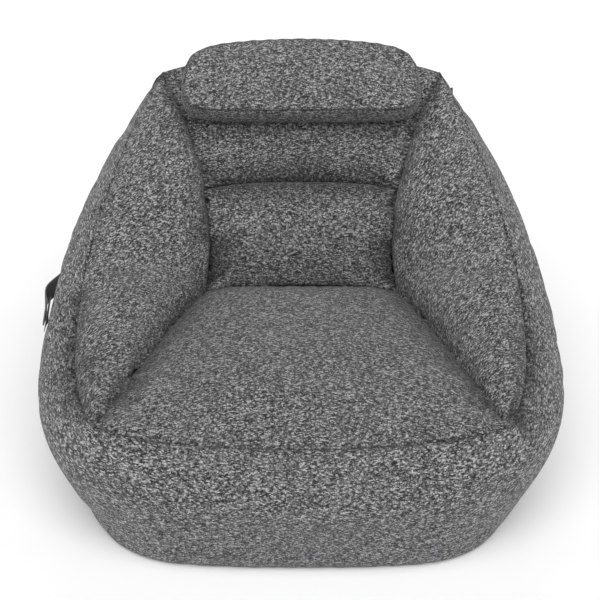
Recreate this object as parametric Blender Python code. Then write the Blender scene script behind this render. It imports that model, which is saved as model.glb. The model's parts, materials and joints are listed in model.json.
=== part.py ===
"""Bean-filled lounge armchair with a headrest pillow.

Metres, +Z up, front towards -Y, floor at Z = 0. The cover is sewn from fabric panels that share
seams; under it the beads sit in four chambers. Left means -X. Each panel is a thin closed shell cut
from one body surface, so neighbouring panels meet edge to edge along a seam.
"""

import math

import bmesh
import bpy
from mathutils import Matrix, Vector
from mathutils.bvhtree import BVHTree

# ---- driving dimensions -------------------------------------------------------------------------

# Where the seams of one side meet: the arm's front corner, the back corner of the seat, and the
# tip of the arm at the top of the back.
FRONT_CORNER = Vector((-0.334, -0.378, 0.262))
SEAT_CORNER = Vector((-0.182, 0.095, 0.270))
TOP_CORNER = Vector((-0.268, 0.300, 0.640))

BASE_HALF_WIDTH = 0.375
BASE_FRONT_Y = -0.408
BASE_REAR_Y = 0.420
BASE_EXPONENT = 4.0          # squareness of the base outline
BASE_CORNER_FRONT = 46.0     # degrees along the outline from the side to the front corner
BASE_CORNER_REAR = 52.0

FRONT_SEAM_BOW = 0.060       # how far the seam over the front runs ahead of its corners
FRONT_SEAM_DROP = 0.018
SEAT_REAR_BOW = 0.012
BACK_TOP_RISE = 0.028
BACK_TOP_BOW = 0.034

SEAT_CROWN = 0.045
BACK_CROWN = 0.034
ARM_CROWN = 0.085
ARM_LEAN = 0.22              # how far the arm's inner face leans away from the seat
SIDE_BULGE = 0.071
FRONT_BULGE = 0.034
REAR_BULGE = 0.070

TUCK_ROWS = 4                # rows of the lumbar panel, below the tuck seam
TUCK_DEPTH = 0.022

SEAT_ROWS = 9
BACK_ROWS = 9
CROSS_COLUMNS = 14
ARM_COLUMNS = 6
WRAP_ROWS = 6

FABRIC = 0.002               # thickness of a cover panel
SEAM_GAP = 0.00025           # each panel's edge stays this far from the seam line
FILL_CLEARANCE = 0.0025      # between a panel and the beads' chamber under it

HEADREST_HALF_WIDTH = 0.221
HEADREST_HALF_HEIGHT = 0.064
HEADREST_TAPER = 0.03        # how much narrower the pillow is at its top, of its width
HEADREST_THICKNESS = 0.060
HEADREST_CROWN = 0.014
HEADREST_LEAN = math.radians(40.0)
HEADREST_CENTRE = Vector((0.0, 0.246, 0.629))
HEADREST_EXPONENT = 7.0
HEADREST_TOP_BOW = 0.020
HEADREST_AROUND = 36
HEADREST_RINGS = 4

FLAP_COLUMNS = 3             # columns of the rear panel on each side of the middle that it covers
FLAP_ROWS = 2
FLAP_THICKNESS = 0.0020
STRIP_THICKNESS = 0.0010     # hook strip and loop strip
STRIP_SPAN = (0.62, 0.92)    # their height, as parts of the flap's lower row

HANDLE_FRONT_Y = -0.050
HANDLE_REAR_Y = 0.135
HANDLE_Z = 0.285
HANDLE_WIDTH = 0.036
HANDLE_THICKNESS = 0.0024
HANDLE_BOW = 0.010           # how far its middle stands off the side
HANDLE_SEWN = 0.16           # part of its length that is sewn down at each end
HANDLE_STEPS = 20
PATCH_HALF_LENGTH = 0.020
PATCH_HALF_HEIGHT = 0.026
PATCH_THICKNESS = 0.0014
PATCH_LIFT = 0.0020          # clear of the side's facets

ZIP_HALF_LENGTH = 0.140
ZIP_TAPE_WIDTH = 0.014
ZIP_TAPE_THICKNESS = 0.0010
COIL_WIDTH = 0.0028          # one of the two rows of coil teeth
COIL_HEIGHT = 0.0022
STOP_LENGTH = 0.0030
SLIDER_HALF_LENGTH = 0.0065
SLIDER_HALF_WIDTH = 0.0060
SLIDER_WALL = 0.0012
SLIDER_REST_X = 0.128
CROWN_HALF_LENGTH = 0.0040
CROWN_HALF_WIDTH = 0.0009
CROWN_HEIGHT = 0.0034
CROWN_BAR = 0.0012
PULLER_LENGTH = 0.026
PULLER_HALF_WIDTH = 0.0036
PULLER_THICKNESS = 0.0012
PULLER_EYE = 0.0060          # length of the window that the crown passes through

TOUCH_GAP = 0.0003
MERGE_DISTANCE = 0.00001

# name: (base colour, roughness, metallic)
FINISHES = {
    "cover_fabric": ((0.135, 0.137, 0.142, 1.0), 0.92, 0.0),
    "base_fabric": ((0.030, 0.030, 0.032, 1.0), 0.70, 0.0),
    "webbing": ((0.105, 0.106, 0.110, 1.0), 0.85, 0.0),
    "bead_fill": ((0.800, 0.790, 0.760, 1.0), 0.80, 0.0),
    "fibre_fill": ((0.850, 0.850, 0.830, 1.0), 0.90, 0.0),
    "hook_and_loop": ((0.045, 0.045, 0.048, 1.0), 0.95, 0.0),
    "zip_tape": ((0.040, 0.040, 0.043, 1.0), 0.85, 0.0),
    "zip_plastic": ((0.060, 0.060, 0.064, 1.0), 0.40, 0.0),
    "zip_metal": ((0.500, 0.500, 0.510, 1.0), 0.35, 1.0),
}


# ---- scene helpers ------------------------------------------------------------------------------

def clear_scene():
    """Remove every object, and the meshes and materials that they leave."""
    for item in list(bpy.data.objects):
        bpy.data.objects.remove(item, do_unlink=True)
    for block in (bpy.data.meshes, bpy.data.materials):
        for item in list(block):
            block.remove(item)


def finish(name):
    """The material of a finish, made on first use."""
    material = bpy.data.materials.get(name)
    if material is None:
        colour, roughness, metallic = FINISHES[name]
        material = bpy.data.materials.new(name)
        material.use_nodes = True
        shader = material.node_tree.nodes["Principled BSDF"]
        shader.inputs["Base Color"].default_value = colour
        shader.inputs["Roughness"].default_value = roughness
        shader.inputs["Metallic"].default_value = metallic
        material.diffuse_color = colour
    return material


def add_object(name, solid, finish_name, parent=None, smooth=True):
    """Turn a bmesh in world space into a named object, under a parent empty where it has one."""
    if parent is not None:
        bmesh.ops.transform(solid, matrix=parent.matrix_world.inverted(), verts=solid.verts)
    bmesh.ops.triangulate(solid, faces=[face for face in solid.faces if len(face.verts) > 4])
    bmesh.ops.recalc_face_normals(solid, faces=solid.faces)
    mesh = bpy.data.meshes.new(name)
    solid.to_mesh(mesh)
    solid.free()
    mesh.materials.append(finish(finish_name))
    if smooth:
        mesh.shade_smooth()
        mesh.set_sharp_from_angle(angle=math.radians(40.0))
    item = bpy.data.objects.new(name, mesh)
    bpy.context.scene.collection.objects.link(item)
    item.parent = parent
    return item


def add_pivot(name, place):
    """An empty on a joint's axis, which its moving pieces hang from."""
    pivot = bpy.data.objects.new(name, None)
    pivot.empty_display_size = 0.03
    bpy.context.scene.collection.objects.link(pivot)
    pivot.location = place
    bpy.context.view_layer.update()
    return pivot


# ---- curves -------------------------------------------------------------------------------------

def bezier(points, t):
    """Point at t on the cubic curve through points[0] and points[3]."""
    a, b, c, d = points
    s = 1.0 - t
    return a * s ** 3 + b * 3 * s * s * t + c * 3 * s * t * t + d * t ** 3


def sample(points, count):
    """count + 1 points along a cubic curve, evenly spaced along its length."""
    return spaced([bezier(points, i / 80) for i in range(81)], count)


def spaced(line, count):
    """count + 1 points evenly spaced along a polyline."""
    lengths = [0.0]
    for a, b in zip(line, line[1:]):
        lengths.append(lengths[-1] + (b - a).length)
    result = []
    k = 0
    for i in range(count + 1):
        target = lengths[-1] * i / count
        while k < len(line) - 2 and lengths[k + 1] < target:
            k += 1
        t = (target - lengths[k]) / (lengths[k + 1] - lengths[k])
        result.append(line[k].lerp(line[k + 1], min(max(t, 0.0), 1.0)))
    return result


def mirrored(point):
    """The point's twin on the other side of the chair."""
    return Vector((-point.x, point.y, point.z))


def base_outline(angle):
    """Point on the floor outline; 0 degrees is +X and 90 degrees the rear."""
    c, s = math.cos(math.radians(angle)), math.sin(math.radians(angle))
    power = 2.0 / BASE_EXPONENT
    half_depth = (BASE_REAR_Y - BASE_FRONT_Y) / 2
    x = BASE_HALF_WIDTH * math.copysign(abs(c) ** power, c)
    y = (BASE_REAR_Y + BASE_FRONT_Y) / 2 + half_depth * math.copysign(abs(s) ** power, s)
    return Vector((x, y, 0.0))


def base_run(start, end, count):
    """count + 1 evenly spaced floor points between two angles of the outline."""
    return spaced([base_outline(start + (end - start) * i / 160) for i in range(161)], count)


def front_seam():
    """Seam between the seat and the front, left corner to right corner."""
    a = FRONT_CORNER
    handle = a + Vector((0.13, -FRONT_SEAM_BOW, -FRONT_SEAM_DROP))
    return sample((a, handle, mirrored(handle), mirrored(a)), CROSS_COLUMNS)


def seat_rear_seam():
    """Crease between the seat and the back."""
    a = SEAT_CORNER
    handle = a + Vector((0.08, SEAT_REAR_BOW, 0.004))
    return sample((a, handle, mirrored(handle), mirrored(a)), CROSS_COLUMNS)


def back_top_seam():
    """Seam over the top of the back, between the arms' tips."""
    a = TOP_CORNER
    handle = a + Vector((0.07, BACK_TOP_BOW, BACK_TOP_RISE))
    return sample((a, handle, mirrored(handle), mirrored(a)), CROSS_COLUMNS)


def seat_crease():
    """Crease between the seat and the left arm, front to rear."""
    a, b = FRONT_CORNER, SEAT_CORNER
    return sample((a, a + Vector((0.045, 0.130, 0.004)), b + Vector((-0.070, -0.160, 0.0)), b), SEAT_ROWS)


def back_crease():
    """Crease between the back and the left arm, seat to top."""
    b, c = SEAT_CORNER, TOP_CORNER
    return sample((b, b + Vector((0.022, 0.030, 0.090)), c + Vector((0.088, -0.075, -0.138)), c), BACK_ROWS)


def arm_seam():
    """Outer seam of the left arm, front corner to top corner."""
    a, c = FRONT_CORNER, TOP_CORNER
    curve = (a, a + Vector((-0.120, 0.200, -0.030)), c + Vector((-0.115, -0.090, -0.165)), c)
    return sample(curve, SEAT_ROWS + BACK_ROWS)


# ---- surfaces -----------------------------------------------------------------------------------

def dome(s, power):
    """0 at both ends of the unit interval and 1 in the middle; a low power gives steep ends."""
    return max(0.0, 4.0 * s * (1.0 - s)) ** power


def coons(bottom, top, left, right):
    """Grid of points that spans four boundary runs; bottom and top run left to right."""
    rows, columns = len(left) - 1, len(bottom) - 1
    grid = []
    for i in range(rows + 1):
        v = i / rows
        line = []
        for j in range(columns + 1):
            u = j / columns
            ruled = bottom[j].lerp(top[j], v) + left[i].lerp(right[i], u)
            corners = bottom[0].lerp(bottom[-1], u).lerp(top[0].lerp(top[-1], u), v)
            line.append(ruled - corners)
        grid.append(line)
    return grid


def seat_surface():
    """Rows from the front seam back to the crease, columns left to right."""
    crease = seat_crease()
    grid = coons(front_seam(), seat_rear_seam(), crease, [mirrored(p) for p in crease])
    for i, line in enumerate(grid):
        for j, point in enumerate(line):
            rise = dome(i / SEAT_ROWS, 0.55) * dome(j / CROSS_COLUMNS, 0.55)
            point.z += SEAT_CROWN * rise
    return grid


def back_surface():
    """Rows from the seat up to the top seam, with a tuck between the lumbar and the upper part."""
    crease = back_crease()
    grid = coons(seat_rear_seam(), back_top_seam(), crease, [mirrored(p) for p in crease])
    forward = Vector((0.0, -0.86, 0.51))
    for i, line in enumerate(grid):
        if i <= TUCK_ROWS:
            lobe = dome(i / TUCK_ROWS, 0.45)
            tucked = BACK_CROWN - TUCK_DEPTH
            depth = tucked * i / TUCK_ROWS + (BACK_CROWN - tucked * i / TUCK_ROWS) * lobe
        else:
            depth = (BACK_CROWN - TUCK_DEPTH) * dome((i - TUCK_ROWS) / (BACK_ROWS - TUCK_ROWS) / 2 + 0.5, 0.6)
        for j, point in enumerate(line):
            point += forward * depth * dome(j / CROSS_COLUMNS, 0.5)
    return grid


def arm_surface():
    """Crescent between the creases and the arm's outer seam; it closes to a point at both ends."""
    inner = seat_crease() + back_crease()[1:]
    outer = arm_seam()
    count = len(inner) - 1
    grid = []
    for i, (start, end) in enumerate(zip(inner, outer)):
        t = i / count
        lean = math.radians(8.0 + 52.0 * t)
        up = Vector((-ARM_LEAN, -math.sin(lean), math.cos(lean))).normalized()
        size = ARM_CROWN * dome(t, 0.75)
        curve = (start, start + up * size * 1.15, end + up * size * 0.75 + Vector((0.2 * size, 0, 0)), end)
        grid.append([bezier(curve, j / ARM_COLUMNS) for j in range(ARM_COLUMNS + 1)])
    return grid


def drop_column(top, foot, bulge, out_shares=(2.1, 0.8)):
    """Points from a seam down to the floor outline, bulging outwards between them."""
    high, low = out_shares
    flatter = abs(foot.x / BASE_HALF_WIDTH) ** 2
    out = Vector((foot.x * flatter, foot.y * 0.9, 0.0)).normalized()
    rise = Vector((0.0, 0.0, top.z * 0.42))
    curve = (top, top + out * bulge * high - rise * 0.2, foot + out * bulge * low + rise, foot)
    return sample(curve, WRAP_ROWS)


def side_surface():
    """Left side of the wrap: one column of points under each point of the arm's outer seam."""
    tops = arm_seam()
    feet = base_run(-180.0 + BASE_CORNER_FRONT, -180.0 - BASE_CORNER_REAR, len(tops) - 1)
    grid = []
    for i, (top, foot) in enumerate(zip(tops, feet)):
        t = i / (len(tops) - 1)
        bulge = FRONT_BULGE + (SIDE_BULGE - FRONT_BULGE) * dome(min(t * 1.2, 0.5), 0.7)
        bulge = bulge if t < 0.85 else bulge + (REAR_BULGE - bulge) * (t - 0.85) / 0.15
        grid.append(drop_column(top, foot, bulge))
    return grid


def front_surface():
    """Front of the wrap: one column under each point of the front seam."""
    tops = front_seam()
    feet = base_run(-180.0 + BASE_CORNER_FRONT, -BASE_CORNER_FRONT, len(tops) - 1)
    return [drop_column(top, foot, FRONT_BULGE) for top, foot in zip(tops, feet)]


def rear_surface():
    """Outer back: one column under each point of the top seam."""
    tops = back_top_seam()
    feet = base_run(180.0 - BASE_CORNER_REAR, BASE_CORNER_REAR, len(tops) - 1)
    return [drop_column(top, foot, REAR_BULGE) for top, foot in zip(tops, feet)]


# ---- meshes from grids --------------------------------------------------------------------------

class Surface:
    """Faces gathered panel by panel into one mesh whose panels share the points of their seams."""

    def __init__(self):
        self.mesh = bmesh.new()
        self.panel = self.mesh.faces.layers.int.new("panel")
        self.names = []

    def add_face(self, name, points):
        if name not in self.names:
            self.names.append(name)
        face = self.mesh.faces.new([self.mesh.verts.new(point) for point in points])
        face[self.panel] = self.names.index(name)

    def add_grid(self, name, grid):
        """Add a grid as triangles, so that a panel and the fill under it bend along the same lines."""
        for a, b in zip(grid, grid[1:]):
            for j in range(len(a) - 1):
                if (a[j] - a[j + 1]).length > MERGE_DISTANCE:
                    self.add_face(name, (a[j], a[j + 1], b[j + 1]))
                if (b[j] - b[j + 1]).length > MERGE_DISTANCE:
                    self.add_face(name, (a[j], b[j + 1], b[j]))

    def join(self):
        """Merge the points that neighbouring faces share."""
        bmesh.ops.remove_doubles(self.mesh, verts=self.mesh.verts, dist=MERGE_DISTANCE)
        self.mesh.normal_update()

    def close(self):
        """Join the panels and point all their faces out, once every panel is in."""
        self.join()
        bmesh.ops.recalc_face_normals(self.mesh, faces=self.mesh.faces)
        self.mesh.normal_update()

    def inset_direction(self, corner, faces):
        """Direction along the surface from a seam point into the panel, scaled for its corner angle."""
        total, level = Vector(), Vector()
        for face in faces:
            total += (face.calc_center_median() - corner.co).normalized()
            level += face.normal
        level.normalize()
        return (total - level * total.dot(level)).normalized()

    def shell(self, name):
        """Closed shell of one panel, FABRIC thick inwards, held off its seams by SEAM_GAP."""
        index = self.names.index(name)
        faces = [face for face in self.mesh.faces if face[self.panel] == index]
        corners = {corner for face in faces for corner in face.verts}
        solid = bmesh.new()
        outer, inner = {}, {}
        for corner in sorted(corners, key=lambda item: tuple(item.co)):
            own = [face for face in corner.link_faces if face[self.panel] == index]
            shift = Vector()
            if len(own) < len(corner.link_faces):
                shift = self.inset_direction(corner, own) * SEAM_GAP * 1.6
            depth = FABRIC * min(corner.calc_shell_factor(), 1.4)
            outer[corner] = solid.verts.new(corner.co + shift)
            inner[corner] = solid.verts.new(corner.co + shift - corner.normal * depth)
        for face in faces:
            solid.faces.new([outer[corner] for corner in face.verts])
            solid.faces.new([inner[corner] for corner in reversed(face.verts)])
            for edge in face.edges:
                if any(other[self.panel] != index for other in edge.link_faces):
                    a, b = sorted(edge.verts, key=lambda item: tuple(item.co))
                    solid.faces.new((outer[a], outer[b], inner[b]))
                    solid.faces.new((outer[a], inner[b], inner[a]))
        return solid

    def shrunk(self, distance):
        """The whole closed mesh moved inwards by an even distance."""
        moves = {}
        for corner in self.mesh.verts:
            moves[corner] = corner.normal * distance * min(corner.calc_shell_factor(), 2.5)
        for corner, move in moves.items():
            corner.co -= move
        return self.mesh


def offset_shell(grid, low, high):
    """Closed solid between two distances outside a grid of falling columns, listed rightwards."""
    surface = Surface()
    surface.add_grid("patch", grid)
    surface.join()
    solid = surface.mesh
    pairs = {corner: (corner.co.copy(), corner.normal.copy()) for corner in solid.verts}
    sheets = []
    for distance in (low, high):
        sheets.append({corner: co + normal * distance for corner, (co, normal) in pairs.items()})
    result = bmesh.new()
    layers = [{corner: result.verts.new(co) for corner, co in sheet.items()} for sheet in sheets]
    for face in solid.faces:
        result.faces.new([layers[1][corner] for corner in face.verts])
        result.faces.new([layers[0][corner] for corner in reversed(face.verts)])
        for loop in face.loops:
            if len(loop.edge.link_faces) == 1:
                a, b = loop.vert, loop.link_loop_next.vert
                result.faces.new((layers[1][b], layers[1][a], layers[0][a], layers[0][b]))
    solid.free()
    return result


def on_floor(point):
    """The point straight below, on the floor."""
    return Vector((point.x, point.y, 0.0))


def mirror_grid(grid):
    """The grid's twin on the other side."""
    return [[mirrored(point) for point in line] for line in grid]


def wall_cells(crease, first_column, last_column):
    """Upright inner wall under a crease, as lists of corners; the ends join full columns of points."""
    cells = []
    last = len(crease) - 2
    for i in range(len(crease) - 1):
        a, b = crease[i], crease[i + 1]
        start = list(reversed(first_column)) if i == 0 and first_column else [on_floor(a), a]
        end = list(last_column) if i == last and last_column else [b, on_floor(b)]
        cells.append(start + end)
    return cells


# ---- the chair's body ---------------------------------------------------------------------------

def build_cover():
    """Make the sewn panels of the cover; returns a search tree of their outer surface."""
    cover = Surface()
    side, front, rear = side_surface(), front_surface(), rear_surface()
    back = back_surface()
    cover.add_grid("seat_panel", seat_surface())
    cover.add_grid("lumbar_panel", back[:TUCK_ROWS + 1])
    cover.add_grid("upper_back_panel", back[TUCK_ROWS:])
    cover.add_grid("arm_panel_left", arm_surface())
    cover.add_grid("arm_panel_right", mirror_grid(arm_surface()))
    cover.add_grid("outer_wrap", side)
    cover.add_grid("outer_wrap", front)
    cover.add_grid("outer_wrap", mirror_grid(side))
    cover.add_grid("rear_panel", rear)
    cover.add_face("base_panel", floor_loop(side, front, rear))
    cover.close()
    for name in cover.names:
        add_object(name, cover.shell(name), "base_fabric" if name == "base_panel" else "cover_fabric")
    return BVHTree.FromBMesh(cover.mesh)


def floor_loop(side, front, rear):
    """Feet of all the columns, once round the base."""
    left = [column[-1] for column in side]
    loop = left[::-1] + [column[-1] for column in front][1:]
    loop += [mirrored(point) for point in left][1:]
    loop += [column[-1] for column in rear][::-1][1:-1]
    return loop


def build_fill():
    """Bead chambers under the seat, behind the back and in both arms."""
    side, front, rear, back = side_surface(), front_surface(), rear_surface(), back_surface()
    seat, arm = seat_surface(), arm_surface()
    low = wall_cells(seat_crease(), front[0], None)
    high = wall_cells(back_crease(), None, rear[0])
    middle = wall_cells(seat_rear_seam(), None, None)
    mirrored_walls = [[mirrored(point) for point in cell] for cell in low + high]

    chamber = Surface()
    chamber.add_grid("fill", seat)
    chamber.add_grid("fill", front)
    for cell in low + mirrored_walls[:len(low)] + middle:
        chamber.add_face("fill", cell)
    edge = [on_floor(point) for point in seat_crease()[1:]]
    rear_edge = [on_floor(point) for point in seat_rear_seam()[1:-1]]
    feet = [column[-1] for column in front]
    loop = feet + [mirrored(point) for point in edge] + rear_edge[::-1] + edge[::-1]
    chamber.add_face("fill", loop)
    add_chamber("seat_fill", chamber)

    chamber = Surface()
    chamber.add_grid("fill", back)
    chamber.add_grid("fill", rear)
    for cell in high + mirrored_walls[len(low):] + middle:
        chamber.add_face("fill", cell)
    edge = [on_floor(point) for point in back_crease()[:-1]]
    feet = [column[-1] for column in rear]
    loop = feet + [mirrored(point) for point in edge[::-1]] + rear_edge[::-1] + edge
    chamber.add_face("fill", loop)
    add_chamber("back_fill", chamber)

    for name, flip in (("left", False), ("right", True)):
        chamber = Surface()
        turn = mirror_grid if flip else list
        chamber.add_grid("fill", turn(arm))
        chamber.add_grid("fill", turn(side))
        for cell in turn(low + high):
            chamber.add_face("fill", cell)
        feet = [column[-1] for column in side]
        inner = [on_floor(point) for point in seat_crease()[1:] + back_crease()[1:-1]]
        chamber.add_face("fill", turn([feet + inner[::-1]])[0])
        add_chamber("arm_fill_" + name, chamber)


def add_chamber(name, chamber):
    """Close a chamber's surface and move it in under the cover."""
    chamber.close()
    add_object(name, chamber.shrunk(FABRIC + FILL_CLEARANCE), "bead_fill")


# ---- the headrest -------------------------------------------------------------------------------

def headrest_outline(count):
    """Rounded, slightly arched outline of the pillow as (across, up) pairs."""
    power = 2.0 / HEADREST_EXPONENT
    result = []
    for i in range(count * 8):
        angle = math.tau * i / (count * 8)
        c, s = math.cos(angle), math.sin(angle)
        up = HEADREST_HALF_HEIGHT * math.copysign(abs(s) ** power, s)
        across = HEADREST_HALF_WIDTH * math.copysign(abs(c) ** power, c)
        across *= 1.0 - HEADREST_TAPER * up / HEADREST_HALF_HEIGHT
        if up > 0:
            up += HEADREST_TOP_BOW * (1 - (across / HEADREST_HALF_WIDTH) ** 2) * up / HEADREST_HALF_HEIGHT
        result.append(Vector((across, up, 0.0)))
    result.append(result[0].copy())
    return spaced(result, count)[:-1]


def headrest_point(across, up, out):
    """World point from the pillow's own across, up and outward distances."""
    climb = Vector((0.0, math.sin(HEADREST_LEAN), math.cos(HEADREST_LEAN)))
    outward = Vector((0.0, -math.cos(HEADREST_LEAN), math.sin(HEADREST_LEAN)))
    return HEADREST_CENTRE + Vector((across, 0.0, 0.0)) + climb * up + outward * out


def headrest_face(out, crown):
    """Rings of points from the outline at one face of the pillow in to its crowned middle."""
    outline = headrest_outline(HEADREST_AROUND)
    rings = []
    for k in range(HEADREST_RINGS + 1):
        reach = 1.0 - k / HEADREST_RINGS
        level = out + crown * (1.0 - reach ** 2.6)
        ring = [headrest_point(p.x * reach, p.y * reach, level) for p in outline]
        rings.append(ring + ring[:1])
    return rings


def build_headrest(pivot):
    """The pillow's front, gusset, back and filling, hung from the flap's hinge line."""
    half = HEADREST_THICKNESS / 2
    front = headrest_face(half, HEADREST_CROWN)
    rear = headrest_face(-half, -HEADREST_CROWN * 0.3)
    middle = [point + (point - HEADREST_CENTRE).normalized() * HEADREST_CROWN / 4
              for point in headrest_face(0.0, 0.0)[0]]
    pillow = Surface()
    pillow.add_grid("headrest_front_panel", front)
    pillow.add_grid("headrest_boxing", [front[0], middle, rear[0]])
    pillow.add_grid("headrest_back_panel", rear)
    pillow.close()
    for name in pillow.names:
        add_object(name, pillow.shell(name), "cover_fabric", pivot)
    add_object("headrest_fill", pillow.shrunk(FABRIC + FILL_CLEARANCE), "fibre_fill", pivot)


# ---- flap, handle and zip -----------------------------------------------------------------------

def side_point(tree, y, z):
    """Point on the left side of the cover at a depth and height, and the direction out of it."""
    place, normal, _, _ = tree.ray_cast(Vector((-1.0, y, z)), Vector((1.0, 0.0, 0.0)))
    return place, normal


def build_flap():
    """Flap from the pillow's top edge down the rear panel, held there by hook and loop."""
    rear = rear_surface()
    middle = CROSS_COLUMNS // 2
    columns = rear[middle - FLAP_COLUMNS:middle + FLAP_COLUMNS + 1][::-1]
    strip = []
    for column in columns:
        upper, lower = column[FLAP_ROWS - 1], column[FLAP_ROWS]
        strip.append([upper.lerp(lower, part) for part in STRIP_SPAN])
    level = 4 * TOUCH_GAP
    for name in ("flap_hook_strip", "flap_loop_strip"):
        add_object(name, offset_shell(strip, level, level + STRIP_THICKNESS), "hook_and_loop")
        level += STRIP_THICKNESS + TOUCH_GAP
    flap = offset_shell([column[:FLAP_ROWS + 1] for column in columns], level + TOUCH_GAP,
                        level + TOUCH_GAP + FLAP_THICKNESS)
    add_object("headrest_flap", flap, "cover_fabric")


def build_handle(tree):
    """Webbing handle on the left side, bowed clear of it between two sewn patches."""
    steps = (1.0, 0.5, 0.0, -0.5, -1.0)
    inset = PATCH_HALF_LENGTH * 0.7
    for name, middle in (("handle_patch_front", HANDLE_FRONT_Y + inset), ("handle_patch_rear", HANDLE_REAR_Y - inset)):
        grid = [[side_point(tree, middle + a * PATCH_HALF_LENGTH, HANDLE_Z + b * PATCH_HALF_HEIGHT)[0]
                 for b in steps] for a in steps]
        add_object(name, offset_shell(grid, PATCH_LIFT, PATCH_LIFT + PATCH_THICKNESS), "webbing")
    strap = []
    for i in reversed(range(HANDLE_STEPS + 1)):
        s = i / HANDLE_STEPS
        y = HANDLE_FRONT_Y + (HANDLE_REAR_Y - HANDLE_FRONT_Y) * s
        upper, centre, lower = (side_point(tree, y, HANDLE_Z + rise)[0] for rise in (0.03, 0.0, -0.03))
        down = (lower - upper).normalized()
        out = Vector((0.0, 1.0, 0.0)).cross(down).normalized()
        free = (s - HANDLE_SEWN) / (1.0 - 2.0 * HANDLE_SEWN)
        lift = PATCH_LIFT * 2 + PATCH_THICKNESS + HANDLE_BOW * dome(min(max(free, 0.0), 1.0), 1.3)
        centre = centre + out * lift
        strap.append([centre + down * HANDLE_WIDTH * part for part in (-0.5, 0.0, 0.5)])
    add_object("handle_strap", offset_shell(strap, 0.0, HANDLE_THICKNESS), "webbing")


def block(solid, low, high):
    """Add a box between two corners to a bmesh."""
    middle, size = (low + high) / 2, high - low
    matrix = Matrix.Translation(middle) @ Matrix.Diagonal((*size, 1.0))
    bmesh.ops.create_cube(solid, size=1.0, matrix=matrix)


def extruded(outline, low, high, axis):
    """Closed prism: outline pairs fill the two other axes, in order, between low and high on axis."""
    solid = bmesh.new()
    ends = []
    for level in (low, high):
        ring = []
        for pair in outline:
            co = list(pair)
            co.insert(axis, level)
            ring.append(solid.verts.new(co))
        ends.append(ring)
    count = len(outline)
    for i in range(count):
        j = (i + 1) % count
        solid.faces.new((ends[0][i], ends[0][j], ends[1][j], ends[1][i]))
    for ring in ends:
        solid.faces.new(ring)
    return solid


def zip_place():
    """Where the zip's middle lies: on the rear panel's rearmost level."""
    middle = rear_surface()[CROSS_COLUMNS // 2]
    return max(middle, key=lambda point: point.y).copy()


def build_zip_chain(place):
    """Two tapes, their rows of coil teeth and the stops at the ends."""
    tape_y = place.y + 2 * TOUCH_GAP
    tooth_y = tape_y + ZIP_TAPE_THICKNESS + TOUCH_GAP
    for name, sign in (("upper", 1), ("lower", -1)):
        tape = bmesh.new()
        levels = sorted((place.z + sign * COIL_WIDTH / 2, place.z + sign * (COIL_WIDTH / 2 + ZIP_TAPE_WIDTH)))
        block(tape, Vector((-ZIP_HALF_LENGTH, tape_y, levels[0])),
              Vector((ZIP_HALF_LENGTH, tape_y + ZIP_TAPE_THICKNESS, levels[1])))
        add_object("zip_tape_" + name, tape, "zip_tape", smooth=False)
        levels = sorted((place.z + sign * TOUCH_GAP / 2, place.z + sign * COIL_WIDTH))
        coil = bmesh.new()
        reach = ZIP_HALF_LENGTH - STOP_LENGTH - TOUCH_GAP
        block(coil, Vector((-reach, tooth_y, levels[0])),
              Vector((reach, tooth_y + COIL_HEIGHT, levels[1])))
        add_object("zip_coil_" + name, coil, "zip_plastic", smooth=False)
    for name, sign in (("zip_top_stop", 1), ("zip_bottom_stop", -1)):
        ends = sorted((sign * ZIP_HALF_LENGTH, sign * (ZIP_HALF_LENGTH - STOP_LENGTH)))
        stop = bmesh.new()
        block(stop, Vector((ends[0], tooth_y, place.z - COIL_WIDTH * 1.2)),
              Vector((ends[1], tooth_y + COIL_HEIGHT, place.z + COIL_WIDTH * 1.2)))
        add_object(name, stop, "zip_metal", smooth=False)


def build_slider(place, pivot):
    """Slider that straddles the teeth, with the crown that its pull tab hangs on."""
    x = pivot.location.x
    foot = place.y + 3 * TOUCH_GAP + ZIP_TAPE_THICKNESS
    roof = foot + COIL_HEIGHT + TOUCH_GAP * 2
    top = roof + SLIDER_WALL
    half, inner = SLIDER_HALF_WIDTH, SLIDER_HALF_WIDTH - SLIDER_WALL
    outline = [(foot, -half), (top, -half), (top, half), (foot, half), (foot, inner), (roof, inner),
               (roof, -inner), (foot, -inner)]
    outline = [(y, place.z + z) for y, z in outline]
    slider = add_object("zip_slider", extruded(outline, x - SLIDER_HALF_LENGTH, x + SLIDER_HALF_LENGTH, 0),
                        "zip_metal", pivot, smooth=False)
    reach, bar = CROWN_HALF_LENGTH, CROWN_BAR
    arch = [(-reach, top - 0.0004), (-reach, top + CROWN_HEIGHT), (reach, top + CROWN_HEIGHT),
            (reach, top - 0.0004), (reach - bar, top - 0.0004), (reach - bar, top + CROWN_HEIGHT - bar),
            (bar - reach, top + CROWN_HEIGHT - bar), (bar - reach, top - 0.0004)]
    arch = [(x + across, y) for across, y in arch]
    crown = add_object("crown_cutter", extruded(arch, place.z - CROWN_HALF_WIDTH,
                                                place.z + CROWN_HALF_WIDTH, 2), "zip_metal", pivot)
    crown.hide_render = True
    crown.display_type = "WIRE"
    union = slider.modifiers.new("crown", "BOOLEAN")
    union.operation = "UNION"
    union.solver = "EXACT"
    union.object = crown
    return top


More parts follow.
